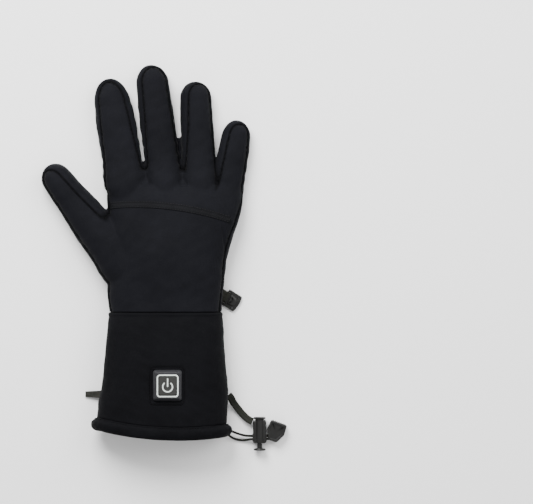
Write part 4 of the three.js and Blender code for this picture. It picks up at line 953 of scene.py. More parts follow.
moved = skin + skin_normals * worn_shape(skin, skin_normals)[:, None]
moved[:, 2] = np.maximum(moved[:, 2], CLOTH_CLEARS_TABLE)
print(f"moved by up to {np.abs(moved - skin).max():.2f} mm")

# %% [markdown]
# A panel's edge has to be a clean line, although the skin's triangles lie every way. Each triangle that the
# zero line crosses is split where the field is zero on its edges, so that both panels share the new points.

# %% Cut the skin into its panels


def cut(points, triangles, field):
    """Parts a skin where a field crosses zero; a new point lies at f0 / (f0 - f1) of a crossed edge."""
    count = (field[triangles] >= 0).sum(1)
    crossing = triangles[(count == 1) | (count == 2)]
    signs = field[crossing] >= 0
    lone_inside = signs.sum(1) == 1
    lone = np.where(lone_inside, signs.argmax(1), (~signs).argmax(1))
    row = np.arange(len(crossing))
    a, b, c = (crossing[row, (lone + k) % 3] for k in range(3))
    edges = np.sort(np.concatenate([np.stack([a, b], 1), np.stack([a, c], 1)]), axis=1)
    edges, index = np.unique(edges, axis=0, return_inverse=True)
    index = index.ravel() + len(points)
    first, second = field[edges[:, 0]], field[edges[:, 1]]
    share = (first / (first - second))[:, None]
    made = points[edges[:, 0]] * (1 - share) + points[edges[:, 1]] * share
    ab, ac = index[: len(a)], index[len(a) :]
    tip = np.stack([a, ab, ac], 1)
    rest = np.concatenate([np.stack([ab, b, c], 1), np.stack([ab, c, ac], 1)])
    twice = np.concatenate([lone_inside, lone_inside])
    inside = np.concatenate([triangles[count == 3], tip[lone_inside], rest[~twice]])
    outside = np.concatenate([triangles[count == 0], tip[~lone_inside], rest[twice]])
    return np.concatenate([points, made]), inside, outside


def part(points, triangles):
    """Only the points that the triangles use, and each of them once."""
    used, index = np.unique(triangles, return_inverse=True)
    return points[used], [index.reshape(-1, 3)]


def paint_seam_shade(item, depth):
    """Keeps for each point how deep it lies in a seam, from 0 to 1, for the cloth's finish to paint as shade."""
    store = item.data.attributes.new("seam_painted_shade", "FLOAT", "POINT")
    store.data.foreach_set("value", np.clip(depth, 0, 1).astype(np.float32))


CLOTH_THICKNESS = 1.2
SEAM_SHADE = 0.8
WRIST_EDGE = -48.15
TOUCH_LENGTH = {"index": 29.0, "thumb": 31.0}

# Each point carries where it is now and, in the last three columns, where it was before the folds.
both = np.concatenate([moved, skin], 1)
both, hand_faces, _ = cut(both, skin_faces, both[:, 4] - WRIST_EDGE)
both, back_faces, rest_faces = cut(both, hand_faces, back_seam(both[:, 3:]))
both, finger_faces, hand_back_faces = cut(both, back_faces, past_knuckles(both[:, 3:]))
both, under_faces, side_faces = cut(both, rest_faces, palm_seam(both[:, 3:]))
pads = {}
for name, length in TOUCH_LENGTH.items():
    along, across = digit_place(name, both[:, 3], both[:, 4])
    near_tip = np.minimum(along - DIGITS[name]["length"] + length, DIGITS[name]["half"] * 1.3 - np.abs(across))
    both, pads[name], under_faces = cut(both, under_faces, near_tip)


def panel(name, triangles, cloth, stands_for):
    """A panel of the hand, given its thickness inwards from the skin."""
    points, faces = part(both, triangles)
    item = piece(name, (points[:, :3], faces), cloth, stands_for=stands_for)
    # Painted shade: points near a seam are darkened, fading within about a millimetre of it.
    nearest = np.minimum(np.abs(back_seam(points[:, 3:])), np.abs(palm_seam(points[:, 3:])))
    paint_seam_shade(item, np.exp(-((nearest / SEAM_SHADE) ** 2)))
    solidify = item.modifiers.new("cloth", "SOLIDIFY")
    solidify.thickness = CLOTH_THICKNESS * MM
    solidify.offset = -1
    return item


back_of_fingers = panel("fingers_back", finger_faces, softshell, ["back_of_fingers"])
back_of_hand = panel("hand_back", hand_back_faces, softshell, ["back_of_hand"])
side_strips = panel(
    "side_strips", side_faces, softshell,
    ["thumb_gusset", "gusset_index_middle", "gusset_middle_ring", "gusset_ring_little", "side_thumb", "side_little"],
)
palm = panel("palm_panel", under_faces, palm_cloth, ["palm"])
for name, triangles in pads.items():
    panel("touch_tip_" + name, triangles, suede, ["touch_pad_" + name])
hand_tree = BVHTree.FromPolygons(moved.tolist(), skin_faces.tolist())

# %% [markdown]
# ## Stitches
# Each visible stitch is a short swollen thread of a few dozen faces. Along a line of points and normals
# the stitches are set out at an even pitch, all in one go, and every row becomes one piece.

# %% Rows of stitches on a surface


def dropped(tree, xy, height=200.0):
    """Where lines straight down (or up, from below) from places of the plan meet a surface, and its normals."""
    start = height if height > 0 else -10.0
    way = Vector((0, 0, -1 if height > 0 else 1))
    hits = [tree.ray_cast(Vector((float(x), float(y), start)), way) for x, y in xy]
    found = np.array([hit[0] is not None for hit in hits])
    points = np.array([hit[0] if hit[0] is not None else (x, y, 0) for hit, (x, y) in zip(hits, xy)])
    normals = np.array([hit[1] if hit[0] is not None else (0, 0, 1) for hit in hits])
    normals *= np.sign(normals[:, 2:] * (1 if height > 0 else -1) + 1e-9)
    return points, normals, found


def swollen_thread(length, radius, rows=6, sides=6):
    """One stitch along X: a circle whose radius follows a half ellipse, flattened into the cloth."""
    place = np.linspace(-1, 1, rows)
    swell = radius * np.sqrt(np.clip(1.04 - place**2, 0.02, 1))
    turn = np.arange(sides) / sides * 2 * math.pi
    x = np.broadcast_to((place * length / 2)[:, None], (rows, sides))
    y, z = swell[:, None] * np.cos(turn), 0.8 * swell[:, None] * np.sin(turn)
    return closed_tube(np.stack([x, y, z], -1))


def stitched(points, normals, pitch, length, radius, sink=0.0, skew=0.0):
    """A stitch at every pitch along a line, turned along it, standing on the surface's normal."""
    walked = np.concatenate([[0], np.cumsum(np.linalg.norm(np.diff(points, axis=0), axis=1))])
    at = np.arange(pitch / 2, walked[-1], pitch)
    centre = np.stack([np.interp(at, walked, points[:, k]) for k in range(3)], 1)
    along = np.gradient(centre, axis=0)
    up = np.stack([np.interp(at, walked, normals[:, k]) for k in range(3)], 1)
    up /= np.linalg.norm(up, axis=1, keepdims=True)
    along /= np.linalg.norm(along, axis=1, keepdims=True)
    across = np.cross(up, along)
    along = along + skew * across
    along /= np.linalg.norm(along, axis=1, keepdims=True)
    across = np.cross(up, along)
    one, faces = swollen_thread(length, radius)
    basis = np.stack([along, across, up], 1)
    placed = np.einsum("kj,nji->nki", one, basis) + (centre - sink * up)[:, None]
    count = np.arange(len(at))[:, None, None] * len(one)
    return placed.reshape(-1, 3), [(f[None] + count).reshape(-1, f.shape[1]) for f in faces]


# %% [markdown]
# The knuckle seam is covered by a band of tape with two rows of cover stitches. It follows the cloth: its
# middle line is an arc in plan, and every point of the band is dropped onto the hand from above.

# %% Tape over the knuckle seam
TAPE_HALF_WIDTH = 2.75
TAPE_THICKNESS = 0.55
TAPE_FROM_X, TAPE_TO_X = -44.4, 49.4
TAPE_STATIONS = 150
TAPE_ACROSS = 11


def knuckle_line(x, offset):
    """The arc, moved outwards along its radius by an offset."""
    radius = KNUCKLE_RADIUS + offset
    return KNUCKLE_CENTRE[1] + np.sqrt(radius**2 - (x - KNUCKLE_CENTRE[0]) ** 2)


def on_tape(offset, stations=TAPE_STATIONS, inset=0.0):
    x = np.linspace(TAPE_FROM_X + inset, TAPE_TO_X - inset, stations)
    return dropped(hand_tree, np.stack([x, knuckle_line(x, offset)], 1))[:2]


tape_top, tape_under = [], []
for k, share in enumerate(np.linspace(-1, 1, TAPE_ACROSS)):
    points, normals = on_tape(share * TAPE_HALF_WIDTH)
    edge = (1 - share**8) ** 0.5
    tape_top.append(points + normals * (0.05 + TAPE_THICKNESS * edge * (1 - 0.25 * (1 - share**2))))
    tape_under.append(points - normals * 0.35)
tape_rings = np.stack(tape_top + tape_under[::-1], 1)
knuckle_band = piece("knuckle_band", closed_tube(tape_rings), tape_cloth, stands_for=["knuckle_tape"])
rows = []
for offset in (-2.15, 2.15):
    points, normals = on_tape(offset, 300, 0.6)
    rows.append(stitched(points + normals * (TAPE_THICKNESS + 0.05), normals, 2.1, 1.35, 0.4))
points, normals = on_tape(0.0, 300, 0.8)
for side in (-1.1, 1.1):
    rows.append(stitched(points + normals * (TAPE_THICKNESS - 0.12), normals, 1.9, 3.6, 0.16, skew=side))
piece("tape_stitches", joined(rows), cover_thread)

# %% [markdown]
# ## Cuff and hem
# The cuff is a padded tube that widens towards its hem, with a wall and a lining. Its rings come from a
# table, as the CAD solid's do. The zip lies in a channel on its underside. The hem is one closed profile
# carried round the opening: proud outside, where the drawcord runs, and turned back to the lining inside.

# %% The cuff's rings
CUFF_Y = -48.3
CUFF_LENGTH = 84.1
CUFF_HALF_WIDTH = 44.0
CUFF_THICKNESS = 37.0
CUFF_MIDDLE = 0.42
CUFF_CENTRE_X = -1.2
CUFF_LIFT = 1.4
WALL = 2.6
CUFF_ALONG = [0.0, 0.08, 0.33, 0.56, 0.72, 0.85, 1.0]
CUFF_WIDTH = [1.0, 1.02, 1.055, 1.09, 1.12, 1.143, 1.15]
CUFF_SHIFT = [0.0, 0.0, 0.0, 0.0, -0.011, -0.045, -0.068]
CUFF_THICK = [0.9, 0.95, 1.03, 1.06, 1.08, 1.1, 1.1]
CUFF_RISE = [0.0, 0.0, 0.5, 1.0, 1.0, 1.0, 1.0]
HEM_DIP = 4.6
HEM_TURN = 2.4
HEM_SLOPE_FROM = 0.34
FLANGE = 4.0
CUFF_SIDES = 220


def hem_line(x):
    """How far down the hem hangs: a parabola across the cuff, and a slope towards the little finger."""
    share = np.minimum(1, np.abs(x - CUFF_CENTRE_X) / (CUFF_HALF_WIDTH * 1.15))
    return -HEM_DIP * (1 - share**2) - math.tan(math.radians(HEM_TURN)) * (x - CUFF_CENTRE_X)


def cuff_rings(along, grow, past=0.0):
    """One ring for each place along the cuff, grown outwards (or shrunk, for the lining) by an offset."""
    at = np.clip(along, 0, 1)
    table = lambda values: eased(at, CUFF_ALONG, values)
    thickness, lift = table(CUFF_THICK) * CUFF_THICKNESS, table(CUFF_RISE) * CUFF_LIFT
    half = table(CUFF_WIDTH) * CUFF_HALF_WIDTH + grow
    across, up = cross_sections(
        half, half, lift + thickness + grow, lift - PRESSED - grow, thickness * CUFF_MIDDLE,
        lift - grow, CUFF_SIDES,
    )
    x = across + (CUFF_CENTRE_X + table(CUFF_SHIFT) * CUFF_HALF_WIDTH)[:, None]
    slope = np.clip((along - HEM_SLOPE_FROM) / (1 - HEM_SLOPE_FROM), 0, 1)[:, None]
    y = (CUFF_Y - along * CUFF_LENGTH)[:, None] + slope * hem_line(x) - past
    return np.stack([x, y, up], -1)


def ring_normals(rings):
    """Outward normals of a grid of rings: the cross product of its two directions."""
    along = np.gradient(rings, axis=0)
    around = np.roll(rings, -1, axis=1) - np.roll(rings, 1, axis=1)
    across = np.cross(along, around)
    across /= np.maximum(np.linalg.norm(across, axis=2, keepdims=True), 1e-9)
    middle = rings.mean(axis=1, keepdims=True)
    return across * np.sign(np.einsum("rci,rci->rc", across, rings - middle))[..., None]


# The switch's sewn patch and the zip's channel, in the cuff's own plan
SWITCH_AT = (0.8, -105.0)
SWITCH_TILT = 3.0
PATCH_HALF = (13.2, 14.6)
PATCH_AT = (0.5, -105.5)
ZIP_Y = -113.0
ZIP_FROM_X, ZIP_TO_X = -47.0, 43.0
ZIP_HALF_WIDTH = 3.4


def outside_box(x, y, centre, half, radius):
    """Distance outside (or, if negative, inside) a rectangle with round corners."""
    dx = np.abs(x - centre[0]) - half[0] + radius
    dy = np.abs(y - centre[1]) - half[1] + radius
    return np.hypot(np.maximum(dx, 0), np.maximum(dy, 0)) + np.minimum(np.maximum(dx, dy), 0) - radius


cuff_along = np.linspace(0, 1, 170)
outer = cuff_rings(cuff_along, 0.0)
normals = ring_normals(outer)
x, y, z = outer[..., 0], outer[..., 1], outer[..., 2]
flat = outer.reshape(-1, 3)
down = cuff_along[:, None]
clear_of_table = np.clip((z - 2.2) / 3, 0, 1)
folds = 0.42 * ripple(flat * (1, 0.45, 1), 26, 11).reshape(x.shape) + 0.1 * ripple(flat, 9, 12).reshape(x.shape)
gathers = 0.3 * ripple(flat * (1, 0.2, 1), 7, 13).reshape(x.shape) * np.exp(-((down - 1) / 0.07) ** 2)
rim = 0.6 * np.exp(-((down - 0.022) / 0.014) ** 2) - 1.0 * np.exp(-down / 0.004)
patch = outside_box(x, y, PATCH_AT, PATCH_HALF, 3.0)
above = z > CUFF_THICKNESS * 0.6
patch_edge = -0.28 * np.exp(-((patch / 0.7) ** 2)) + 0.2 * np.exp(-((patch + 1.0) / 0.8) ** 2)
sewn = above * (patch_edge - 0.3 / (1 + np.exp((patch + 2.0) / 0.2)))
move = (folds + gathers) * clear_of_table * np.clip(down / 0.05, 0, 1) + rim * clear_of_table + sewn
channel = outside_box(x, y, ((ZIP_FROM_X + ZIP_TO_X) / 2, ZIP_Y), ((ZIP_TO_X - ZIP_FROM_X) / 2, ZIP_HALF_WIDTH), 0.8)
below = z < CUFF_THICKNESS * 0.4
move -= below * 1.5 / (1 + np.exp(channel / 0.16))
outer = outer + normals * move[..., None]
lining_along = np.linspace(1, 0, 60)
inner = cuff_rings(lining_along, -WALL)
inner = inner + ring_normals(inner) * (0.3 * ripple(inner.reshape(-1, 3), 18, 14)).reshape(60, -1, 1)
# A flange reaches a little way up inside the hand, where the two are sewn together.
flange = np.concatenate([
    cuff_rings(np.zeros(1), -WALL, -FLANGE), cuff_rings(np.zeros(1), -1.5, -FLANGE), cuff_rings(np.zeros(1), -1.4, -0.3)
])
cuff_rows = np.concatenate([flange, outer, inner])
# Painted shade: the cuff shell wears the darker copy of the softshell.
cuff_shell = piece("cuff_shell", closed_ring(cuff_rows), shaded_cuff_softshell, stands_for=["cuff"])
# Painted shade at the wrist seam and round the switch's patch, and full painted shade on the flange inside the hand.
seams = 0.8 * np.exp(-((down / 0.008) ** 2)) + 0.15 * above * np.exp(-((patch / 0.7) ** 2))
paint_seam_shade(cuff_shell, np.concatenate([np.ones(flange[..., 0].size), seams.ravel(), np.zeros(inner[..., 0].size)]))
cuff_points, cuff_faces = outward(flat + (normals * move[..., None]).reshape(-1, 3), [grid_faces(170, CUFF_SIDES)])
cuff_tree = BVHTree.FromPolygons(cuff_points.tolist(), cuff_faces[0].tolist())

# %% The rolled hem
HEM_LENGTH = 10.3
HEM_PROUD = 4.4
HEM_PROUD_ABOVE = 2.3
# Round the hem's profile: share of its length, share that it stands proud, and depth into the wall
HEM_PROFILE = [
    (0.0, -0.02, 0.0), (0.05, 0.05, 0.0), (0.13, 0.4, 0.0), (0.24, 0.74, 0.0), (0.38, 0.95, 0.0),
    (0.52, 1.0, 0.0), (0.68, 0.95, 0.0), (0.82, 0.78, 0.0), (0.93, 0.5, 0.0), (1.0, 0.12, 0.4),
    (1.0, 0.0, 1.3), (0.94, 0.0, 2.1), (0.8, 0.0, 2.5), (0.5, 0.0, 2.7), (0.2, 0.0, 2.7), (-0.03, 0.0, 2.5),
    (-0.04, 0.0, 1.2),
]


def hem_rings(profile):
    """One ring for each point of the profile: wider and higher where it is proud, smaller where it is deep."""
    along, proud, depth = np.asarray(profile, float).T
    last = cuff_rings(np.array([1.0]), 0.0)[0]
    centre = (last[:, 0].max() + last[:, 0].min()) / 2
    half = (last[:, 0].max() - last[:, 0].min()) / 2 + proud * HEM_PROUD - depth
    thick = CUFF_THICK[-1] * CUFF_THICKNESS
    under = np.maximum(CUFF_LIFT * (1 - proud) + depth, 0.08)
    across, up = cross_sections(
        half, half, CUFF_LIFT + thick + proud * HEM_PROUD_ABOVE - depth, under - PRESSED,
        np.full(len(half), thick * CUFF_MIDDLE), under, CUFF_SIDES,
    )
    x = centre + across
    y = CUFF_Y - CUFF_LENGTH - 0.3 - along[:, None] * HEM_LENGTH + hem_line(x)
    return np.stack([x, y, up], -1)


knots = np.arange(len(HEM_PROFILE) + 1)
profile = eased(np.linspace(0, len(HEM_PROFILE), 52)[:-1], knots, HEM_PROFILE + HEM_PROFILE[:1])
hem = hem_rings(profile)
hem_out = np.clip(profile[:, 1] * 1.5, 0, 1)[:, None]
high = np.clip((hem[..., 2] - 1.5) / 3, 0, 1)
lumps = 0.25 * ripple(hem.reshape(-1, 3), 14, 21) + 0.1 * ripple(hem.reshape(-1, 3), 5, 22)
hem = hem + ring_normals(hem) * (lumps.reshape(hem.shape[:2]) * hem_out * high)[..., None]
# Painted shade: the hem roll wears the darker copy of the softshell.
hem_roll = piece("hem_roll", closed_ring(hem), shaded_cuff_softshell, stands_for=["hem"])
# Painted shade in the groove where the hem meets the cuff.
paint_seam_shade(hem_roll, np.repeat(0.2 * np.exp(-((profile[:, 0] / 0.035) ** 2)) * (profile[:, 2] < 0.5), CUFF_SIDES))
row = hem_rings([(0.1, 0.3, 0.0)])[0]
way = hem_rings([(0.1, 0.8, 0.0)])[0] - row
way /= np.linalg.norm(way, axis=1, keepdims=True)
clear = row[:, 2] > 1.0
piece("hem_stitches", stitched(row[clear], way[clear], 2.1, 1.35, 0.4, sink=-0.1), thread_black)

# %% [markdown]
# ## Power switch
# A soft moulded housing with broad bevels, sewn into the cuff. A white outline is let into its top round a
# rubber cap with the usual power sign, an open ring and a bar. Plates are stacks of rounded outlines. The
# ring is a flat bead carried round an arc, and it shrinks to nothing at its ends.

# %% Housing, outline, cap and sign
SWITCH_FOOT = 40.114
HOUSING_HALF = (11.3, 12.2)
HOUSING_LEVELS = [
    (0.5, 0.0), (0.0, 0.15), (0.0, 1.5), (0.15, 2.3), (0.5, 2.9), (2.1, 4.95), (2.35, 5.12), (2.7, 5.2),
    (2.75, 5.2), (4.05, 5.2), (4.12, 5.12), (4.15, 4.2), (4.2, 2.3), (5.5, 2.3),
]


def on_switch(shape, x=0.0, y=0.0, z=0.0):
    moved_shape = (shape[0] + (x, y, z), shape[1])
    return turned(moved_shape, (*SWITCH_AT, SWITCH_FOOT), tilt=SWITCH_TILT)


housing = piece(
    "switch_frame", on_switch(stacked(*HOUSING_HALF, 2.6, HOUSING_LEVELS, 10)), rubber,
    stands_for=["switch_housing"], sharp=50,
)
OUTLINE_HALF = (8.45, 8.8)
OUTLINE_LEVELS = [(0.0, 4.9), (0.0, 5.34), (0.12, 5.44), (0.96, 5.44), (1.08, 5.34), (1.08, 4.9)]
outline_rings = [
    np.column_stack([rounded(OUTLINE_HALF[0] - i, OUTLINE_HALF[1] - i, 2.5 - i, 10), np.full(40, h)])
    for i, h in OUTLINE_LEVELS
]
piece("white_outline", on_switch(closed_ring(np.array(outline_rings)), y=-0.3), white_mark,
      stands_for=["switch_outline"], sharp=50)
CAP_TOP = 4.85
cap_levels = [(0.3, 3.15), (0.0, 3.3), (0.0, CAP_TOP - 0.35), (0.12, CAP_TOP - 0.1), (0.35, CAP_TOP), (0.8, CAP_TOP)]
piece("switch_button", on_switch(stacked(6.95, 7.25, 1.3, cap_levels, 8), y=-0.3), cap_rubber,
      "power_switch", ["switch_cap"], 50)
SIGN_RADIUS = 3.8
SIGN_STROKE = 1.05
SIGN_PROUD = 0.22
SIGN_GAP = 34
SIGN_BELOW = 1.1


def bead(path):
    """A flat bead along a line with round ends: its half width follows a circle within half a stroke."""
    walked = np.concatenate([[0], np.cumsum(np.linalg.norm(np.diff(path, axis=0), axis=1))])
    from_end = np.minimum(walked, walked[-1] - walked)
    round_end = np.sqrt(np.clip(1 - (1 - np.clip(from_end / (SIGN_STROKE / 2), 0, 1)) ** 2, 0.004, 1))
    turn = np.arange(16) / 16 * 2 * math.pi
    flat_ring = [np.sign(np.cos(turn)) * np.abs(np.cos(turn)) ** 0.6, np.sign(np.sin(turn)) * np.abs(np.sin(turn)) ** 0.6]
    ring = np.stack([flat_ring[0] * SIGN_STROKE / 2, flat_ring[1] * SIGN_PROUD], 1)
    rings = np.repeat(ring[None], len(path), 0)
    rings[..., 0] *= round_end[:, None]
    return closed_tube(along_path(path, rings))


sweep = np.radians(np.linspace(90 + SIGN_GAP, 450 - SIGN_GAP, 90))
arc = np.stack([SIGN_RADIUS * np.cos(sweep), SIGN_RADIUS * np.sin(sweep), np.zeros(90)], 1)
piece("power_arc", on_switch(bead(arc), y=-SIGN_BELOW, z=CAP_TOP), white_mark, "power_switch", ["power_ring"])
upright = np.stack([np.zeros(40), np.linspace(0.0, 6.7, 40), np.zeros(40)], 1)
piece("power_stroke", on_switch(bead(upright), y=-SIGN_BELOW, z=CAP_TOP), white_mark, "power_switch",
      ["power_bar"])
patch_line = rounded(PATCH_HALF[0], PATCH_HALF[1], 3.0, 12) + PATCH_AT
patch_line = np.concatenate([patch_line, patch_line[:1]])
dense = smooth_line(np.column_stack([patch_line, np.zeros(len(patch_line))]), 0.4)[:, :2]
points, normals, _ = dropped(cuff_tree, dense)
piece("patch_stitches", stitched(points, normals, 2.1, 1.35, 0.38, sink=-0.1), thread_black)

# %% [markdown]
# ## Zip, slider and puller
# The battery pocket closes with a coil zip under the cuff. Its tape follows the cuff's underside, the coil
# is a row of small loops, and the slider carries a moulded puller that swings on its pin.

# %% Tape and coil under the cuff


def underside(x):
    """Height of the cuff's outer face under the zip."""
    at = np.array([(CUFF_Y - ZIP_Y) / CUFF_LENGTH])
    ring = cuff_rings(at, 0.0)[0]
    low = ring[ring[:, 2] < CUFF_THICK[4] * CUFF_THICKNESS * CUFF_MIDDLE]
    low = low[np.argsort(low[:, 0])]
    return np.interp(x, low[:, 0], low[:, 2])


zip_x = np.linspace(ZIP_FROM_X, ZIP_TO_X, 120)
zip_path = np.stack([zip_x, np.full(120, ZIP_Y), underside(zip_x) + 0.95], 1)
tape_profile = np.array([(-3.2, -0.25), (3.2, -0.25), (3.2, 0.3), (-3.2, 0.3)])
zip_band = closed_tube(along_path(zip_path, tape_profile))
zip_shape = piece("zip_band", zip_band, webbing, stands_for=["zip_tape"])
COIL_PITCH = 1.15
down_normals = np.repeat([[0.0, 0.0, -1.0]], 120, 0)
coils = []
for side in (-0.85, 0.85):
    line = zip_path + (side * 0 + COIL_PITCH / 4 * np.sign(side), side, -0.45)
    coils.append(stitched(line, down_normals, COIL_PITCH, 2.3, 0.42, skew=40.0 * np.sign(side)))
piece("zip_teeth", joined(coils), coil_nylon)
rows = [
    stitched(zip_path + (0, side * 2.6, -0.32), down_normals, 2.0, 1.6, 0.2) for side in (-1, 1)
]
piece("zip_stitches", joined(rows), thread_black)

# %% Slider and puller
SLIDER_X = -41.5
SLIDER_HALF = (3.8, 3.1)
SLIDER_HEIGHT = 1.9
SLIDER_SLOPE = -0.3355
PIVOT = (-47.157, -113.0, 4.717)
PIN_RADIUS = 0.62
reach = np.linspace(-0.5, 0.5, 9) * 2 * SLIDER_HALF[0]
slider_top = (underside(SLIDER_X + reach) - math.tan(SLIDER_SLOPE) * reach).min() - 0.3
slope = -math.degrees(SLIDER_SLOPE)
slider_levels = [(0.7, -SLIDER_HEIGHT), (0.2, -SLIDER_HEIGHT + 0.12), (0, -1.45), (0, -0.4), (0.3, 0.0), (0.8, 0.0)]
slider_plate = turned(stacked(*SLIDER_HALF, 1.6, slider_levels), (SLIDER_X, ZIP_Y, slider_top), tilt=slope)
bridge = stacked(2.4, 0.8, 0.7, [(0.3, -2.35), (0, -2.15), (0, -1.8), (0.1, -1.5)], 5)
bridge = turned(bridge, (SLIDER_X, ZIP_Y, slider_top), tilt=slope)
ears = []
for side in (-1, 1):
    ear = stacked(2.9, 0.5, 0.45, [(0.15, -1.85), (0, -1.7), (0, -0.2), (0.15, -0.05)], 5)
    ear = (ear[0] + (-3.7, side * 2.6, 0), ear[1])
    ears.append(turned(ear, (SLIDER_X, ZIP_Y, slider_top), tilt=slope))
pin_ends = [(0.05, ZIP_Y - 3.1), (PIN_RADIUS, ZIP_Y - 3.0), (PIN_RADIUS, ZIP_Y + 3.0), (0.05, ZIP_Y + 3.1)]
pin = closed_tube(lathe(pin_ends, PIVOT, 20))
piece("zip_runner", joined([slider_plate, bridge, *ears, pin]), gunmetal, stands_for=["zip_slider"], sharp=45)

PULLER_TILT = -12.4
EYE_RADIUS = 1.5
EYE_HALF = 1.72
eye_profile = [(0.82, ZIP_Y - EYE_HALF), (EYE_RADIUS, ZIP_Y - EYE_HALF), (EYE_RADIUS, ZIP_Y + EYE_HALF), (0.82, ZIP_Y + EYE_HALF)]
eye = closed_ring(lathe(eye_profile, PIVOT, 28))
blade_corners = [(-1.15, -1.72), (-1.15, 1.72), (-1.8, 1.72), (-4.0, 3.0), (-17.5, 2.2), (-17.5, -2.2), (-4.0, -3.0), (-1.8, -1.72)]
blade_levels = [(0.5, -0.7), (0.12, -0.62), (0, -0.4), (0, 0.4), (0.12, 0.62), (0.5, 0.7), (0.95, 0.7), (1.1, 0.55), (1.3, 0.55)]
blade = turned(plate_of(round_corners(blade_corners, 0.3, 4), blade_levels), PIVOT, tilt=PULLER_TILT)
grip_ribs = []
for k in range(4):
    rib = stacked(0.28, 1.4, 0.2, [(0.1, 0.45), (0, 0.55), (0, 0.72), (0.1, 0.8)], 3)
    grip_ribs.append(turned((rib[0] + (-15.6 + k * 1.3, 0, 0), rib[1]), PIVOT, tilt=PULLER_TILT))
piece("puller_blade", joined([blade, eye, *grip_ribs]), puller_plastic, "zip_puller", ["zip_puller"], 40)

# %% [markdown]
# ## Clip on its webbing
# The two gloves hook together by a moulded plate on a loop of webbing. Its two holes go right through, so
# they are cut with a Boolean from the stacked plate.

# %% Webbing and clip
CLIP_AT = (43.67, -35.5, 0.0)
CLIP_TURN = -32
CLIP_START = 1.8
CLIP_LENGTH = 12.6
CLIP_HALF = 6.7
CLIP_THICKNESS = 2.6
web_knots = [(-3.4, 6.2), (-1.4, 5.7), (0.6, 3.2), (2.4, 1.4), (4.8, 1.1)]
web_line = smooth_line([(x, 0.0, z + 0.7) for x, z in web_knots], 0.35)
web_share = np.concatenate([np.linspace(1, -1, 13), np.linspace(-1, 1, 13)])
web_side = np.repeat([1.0, -1.0], 13)
web_profile = np.stack([web_share * 4.3, web_side * (0.62 + 0.08 * np.cos(web_share * 9 * math.pi)) * (1 - web_share**8) ** 0.5], 1)
piece("clip_band", turned(closed_tube(along_path(web_line, web_profile)), CLIP_AT, CLIP_TURN), webbing,
      stands_for=["clip_webbing"])

arc_y = np.linspace(-CLIP_HALF, CLIP_HALF, 14)
end_x = CLIP_LENGTH + 0.0 - 1.2 * (arc_y / CLIP_HALF) ** 2
clip_corners = np.concatenate([[(0.0, CLIP_HALF), (0.0, -CLIP_HALF)], np.stack([end_x, arc_y], 1)])
clip_outline = round_corners(clip_corners, 0.42, 4)
clip_levels = [(0.5, 0.1), (0.1, 0.2), (0, 0.5), (0, 2.3), (0.15, 2.6), (0.5, 2.7)]
clip_plate = plate_of(clip_outline, clip_levels)
tongue_turn = np.linspace(-math.pi / 2, math.pi / 2, 16)
tongue_corners = np.concatenate(
    [[(3.6, 3.8), (3.6, -3.8)], np.stack([6.4 + 3.8 * np.cos(tongue_turn), 3.8 * np.sin(tongue_turn)], 1)]
)
tongue_levels = [(-0.2, 2.4), (0, 2.7), (0.0, 3.5), (0.4, 4.1), (1.0, 4.35), (1.8, 4.4)]
tongue = plate_of(round_corners(tongue_corners, 0.3, 3), tongue_levels)


def shifted(shape, x, y=0.0, z=0.0):
    return shape[0] + (x, y, z), shape[1]


clip_shape = [turned(shifted(s, CLIP_START), CLIP_AT, CLIP_TURN) for s in (clip_plate, tongue)]
clip_item = piece("clip_plate", clip_shape[0], plastic, stands_for=["clip"])


def cut_out(item, shapes):
    """Takes closed shapes out of a piece with a Boolean, and keeps the result as the piece's mesh."""
    cutter = bpy.data.objects.new("cutter", new_mesh("cutter", *joined(shapes)))
    bpy.context.scene.collection.objects.link(cutter)
    boolean = item.modifiers.new("holes", "BOOLEAN")
    boolean.operation = "DIFFERENCE"
    boolean.solver = "EXACT"
    boolean.object = cutter
    evaluated = item.evaluated_get(bpy.context.evaluated_depsgraph_get())
    made = bpy.data.meshes.new_from_object(evaluated)
    item.modifiers.clear()
    item.data = made
    bpy.data.objects.remove(cutter)


holes = []
for side in (-1, 1):
    hole = stacked(0.75, 0.75, 0.74, [(0, -2), (0, 6)], 5)
    holes.append(turned(shifted(hole, CLIP_START + 9.4, side * 4.8), CLIP_AT, CLIP_TURN))
slot_box = stacked(1.0, 4.75, 0.3, [(0, -2), (0, 6)], 3)
holes.append(turned(shifted(slot_box, CLIP_START + 1.75), CLIP_AT, CLIP_TURN))
cut_out(clip_item, holes)
clip_item.data.set_sharp_from_angle(angle=math.radians(40))
piece("clip_tongue", clip_shape[1], plastic, sharp=45)

# %% [markdown]
# ## Grip print on the palm
# The palm is printed with a honeycomb of silicone lines. They stand proud of the cloth, so each side of a
# hexagon is a low ridge, dropped onto the palm from below. A side is left out where it would cross the
# panel's edge.

# %% Honeycomb ridges
HEX_PITCH = 5.5
RIDGE_HALF_WIDTH = 0.34
RIDGE_HEIGHT = 0.24
RIDGE_STATIONS = 4
hex_side = HEX_PITCH / math.sqrt(3)
columns, ranks = np.meshgrid(np.arange(-22, 20), np.arange(-16, 42))
hex_x = (columns * HEX_PITCH + (ranks % 2) * HEX_PITCH / 2).ravel()
hex_y = (ranks * hex_side * 1.5 + 10).ravel()
starts, ends = [], []
for k in range(3):
    turn = np.radians(90 + 60 * np.array([k, k + 1]))
    starts.append(np.stack([hex_x + hex_side * np.cos(turn[0]), hex_y + hex_side * np.sin(turn[0])], 1))
    ends.append(np.stack([hex_x + hex_side * np.cos(turn[1]), hex_y + hex_side * np.sin(turn[1])], 1))
starts, ends = np.concatenate(starts), np.concatenate(ends)


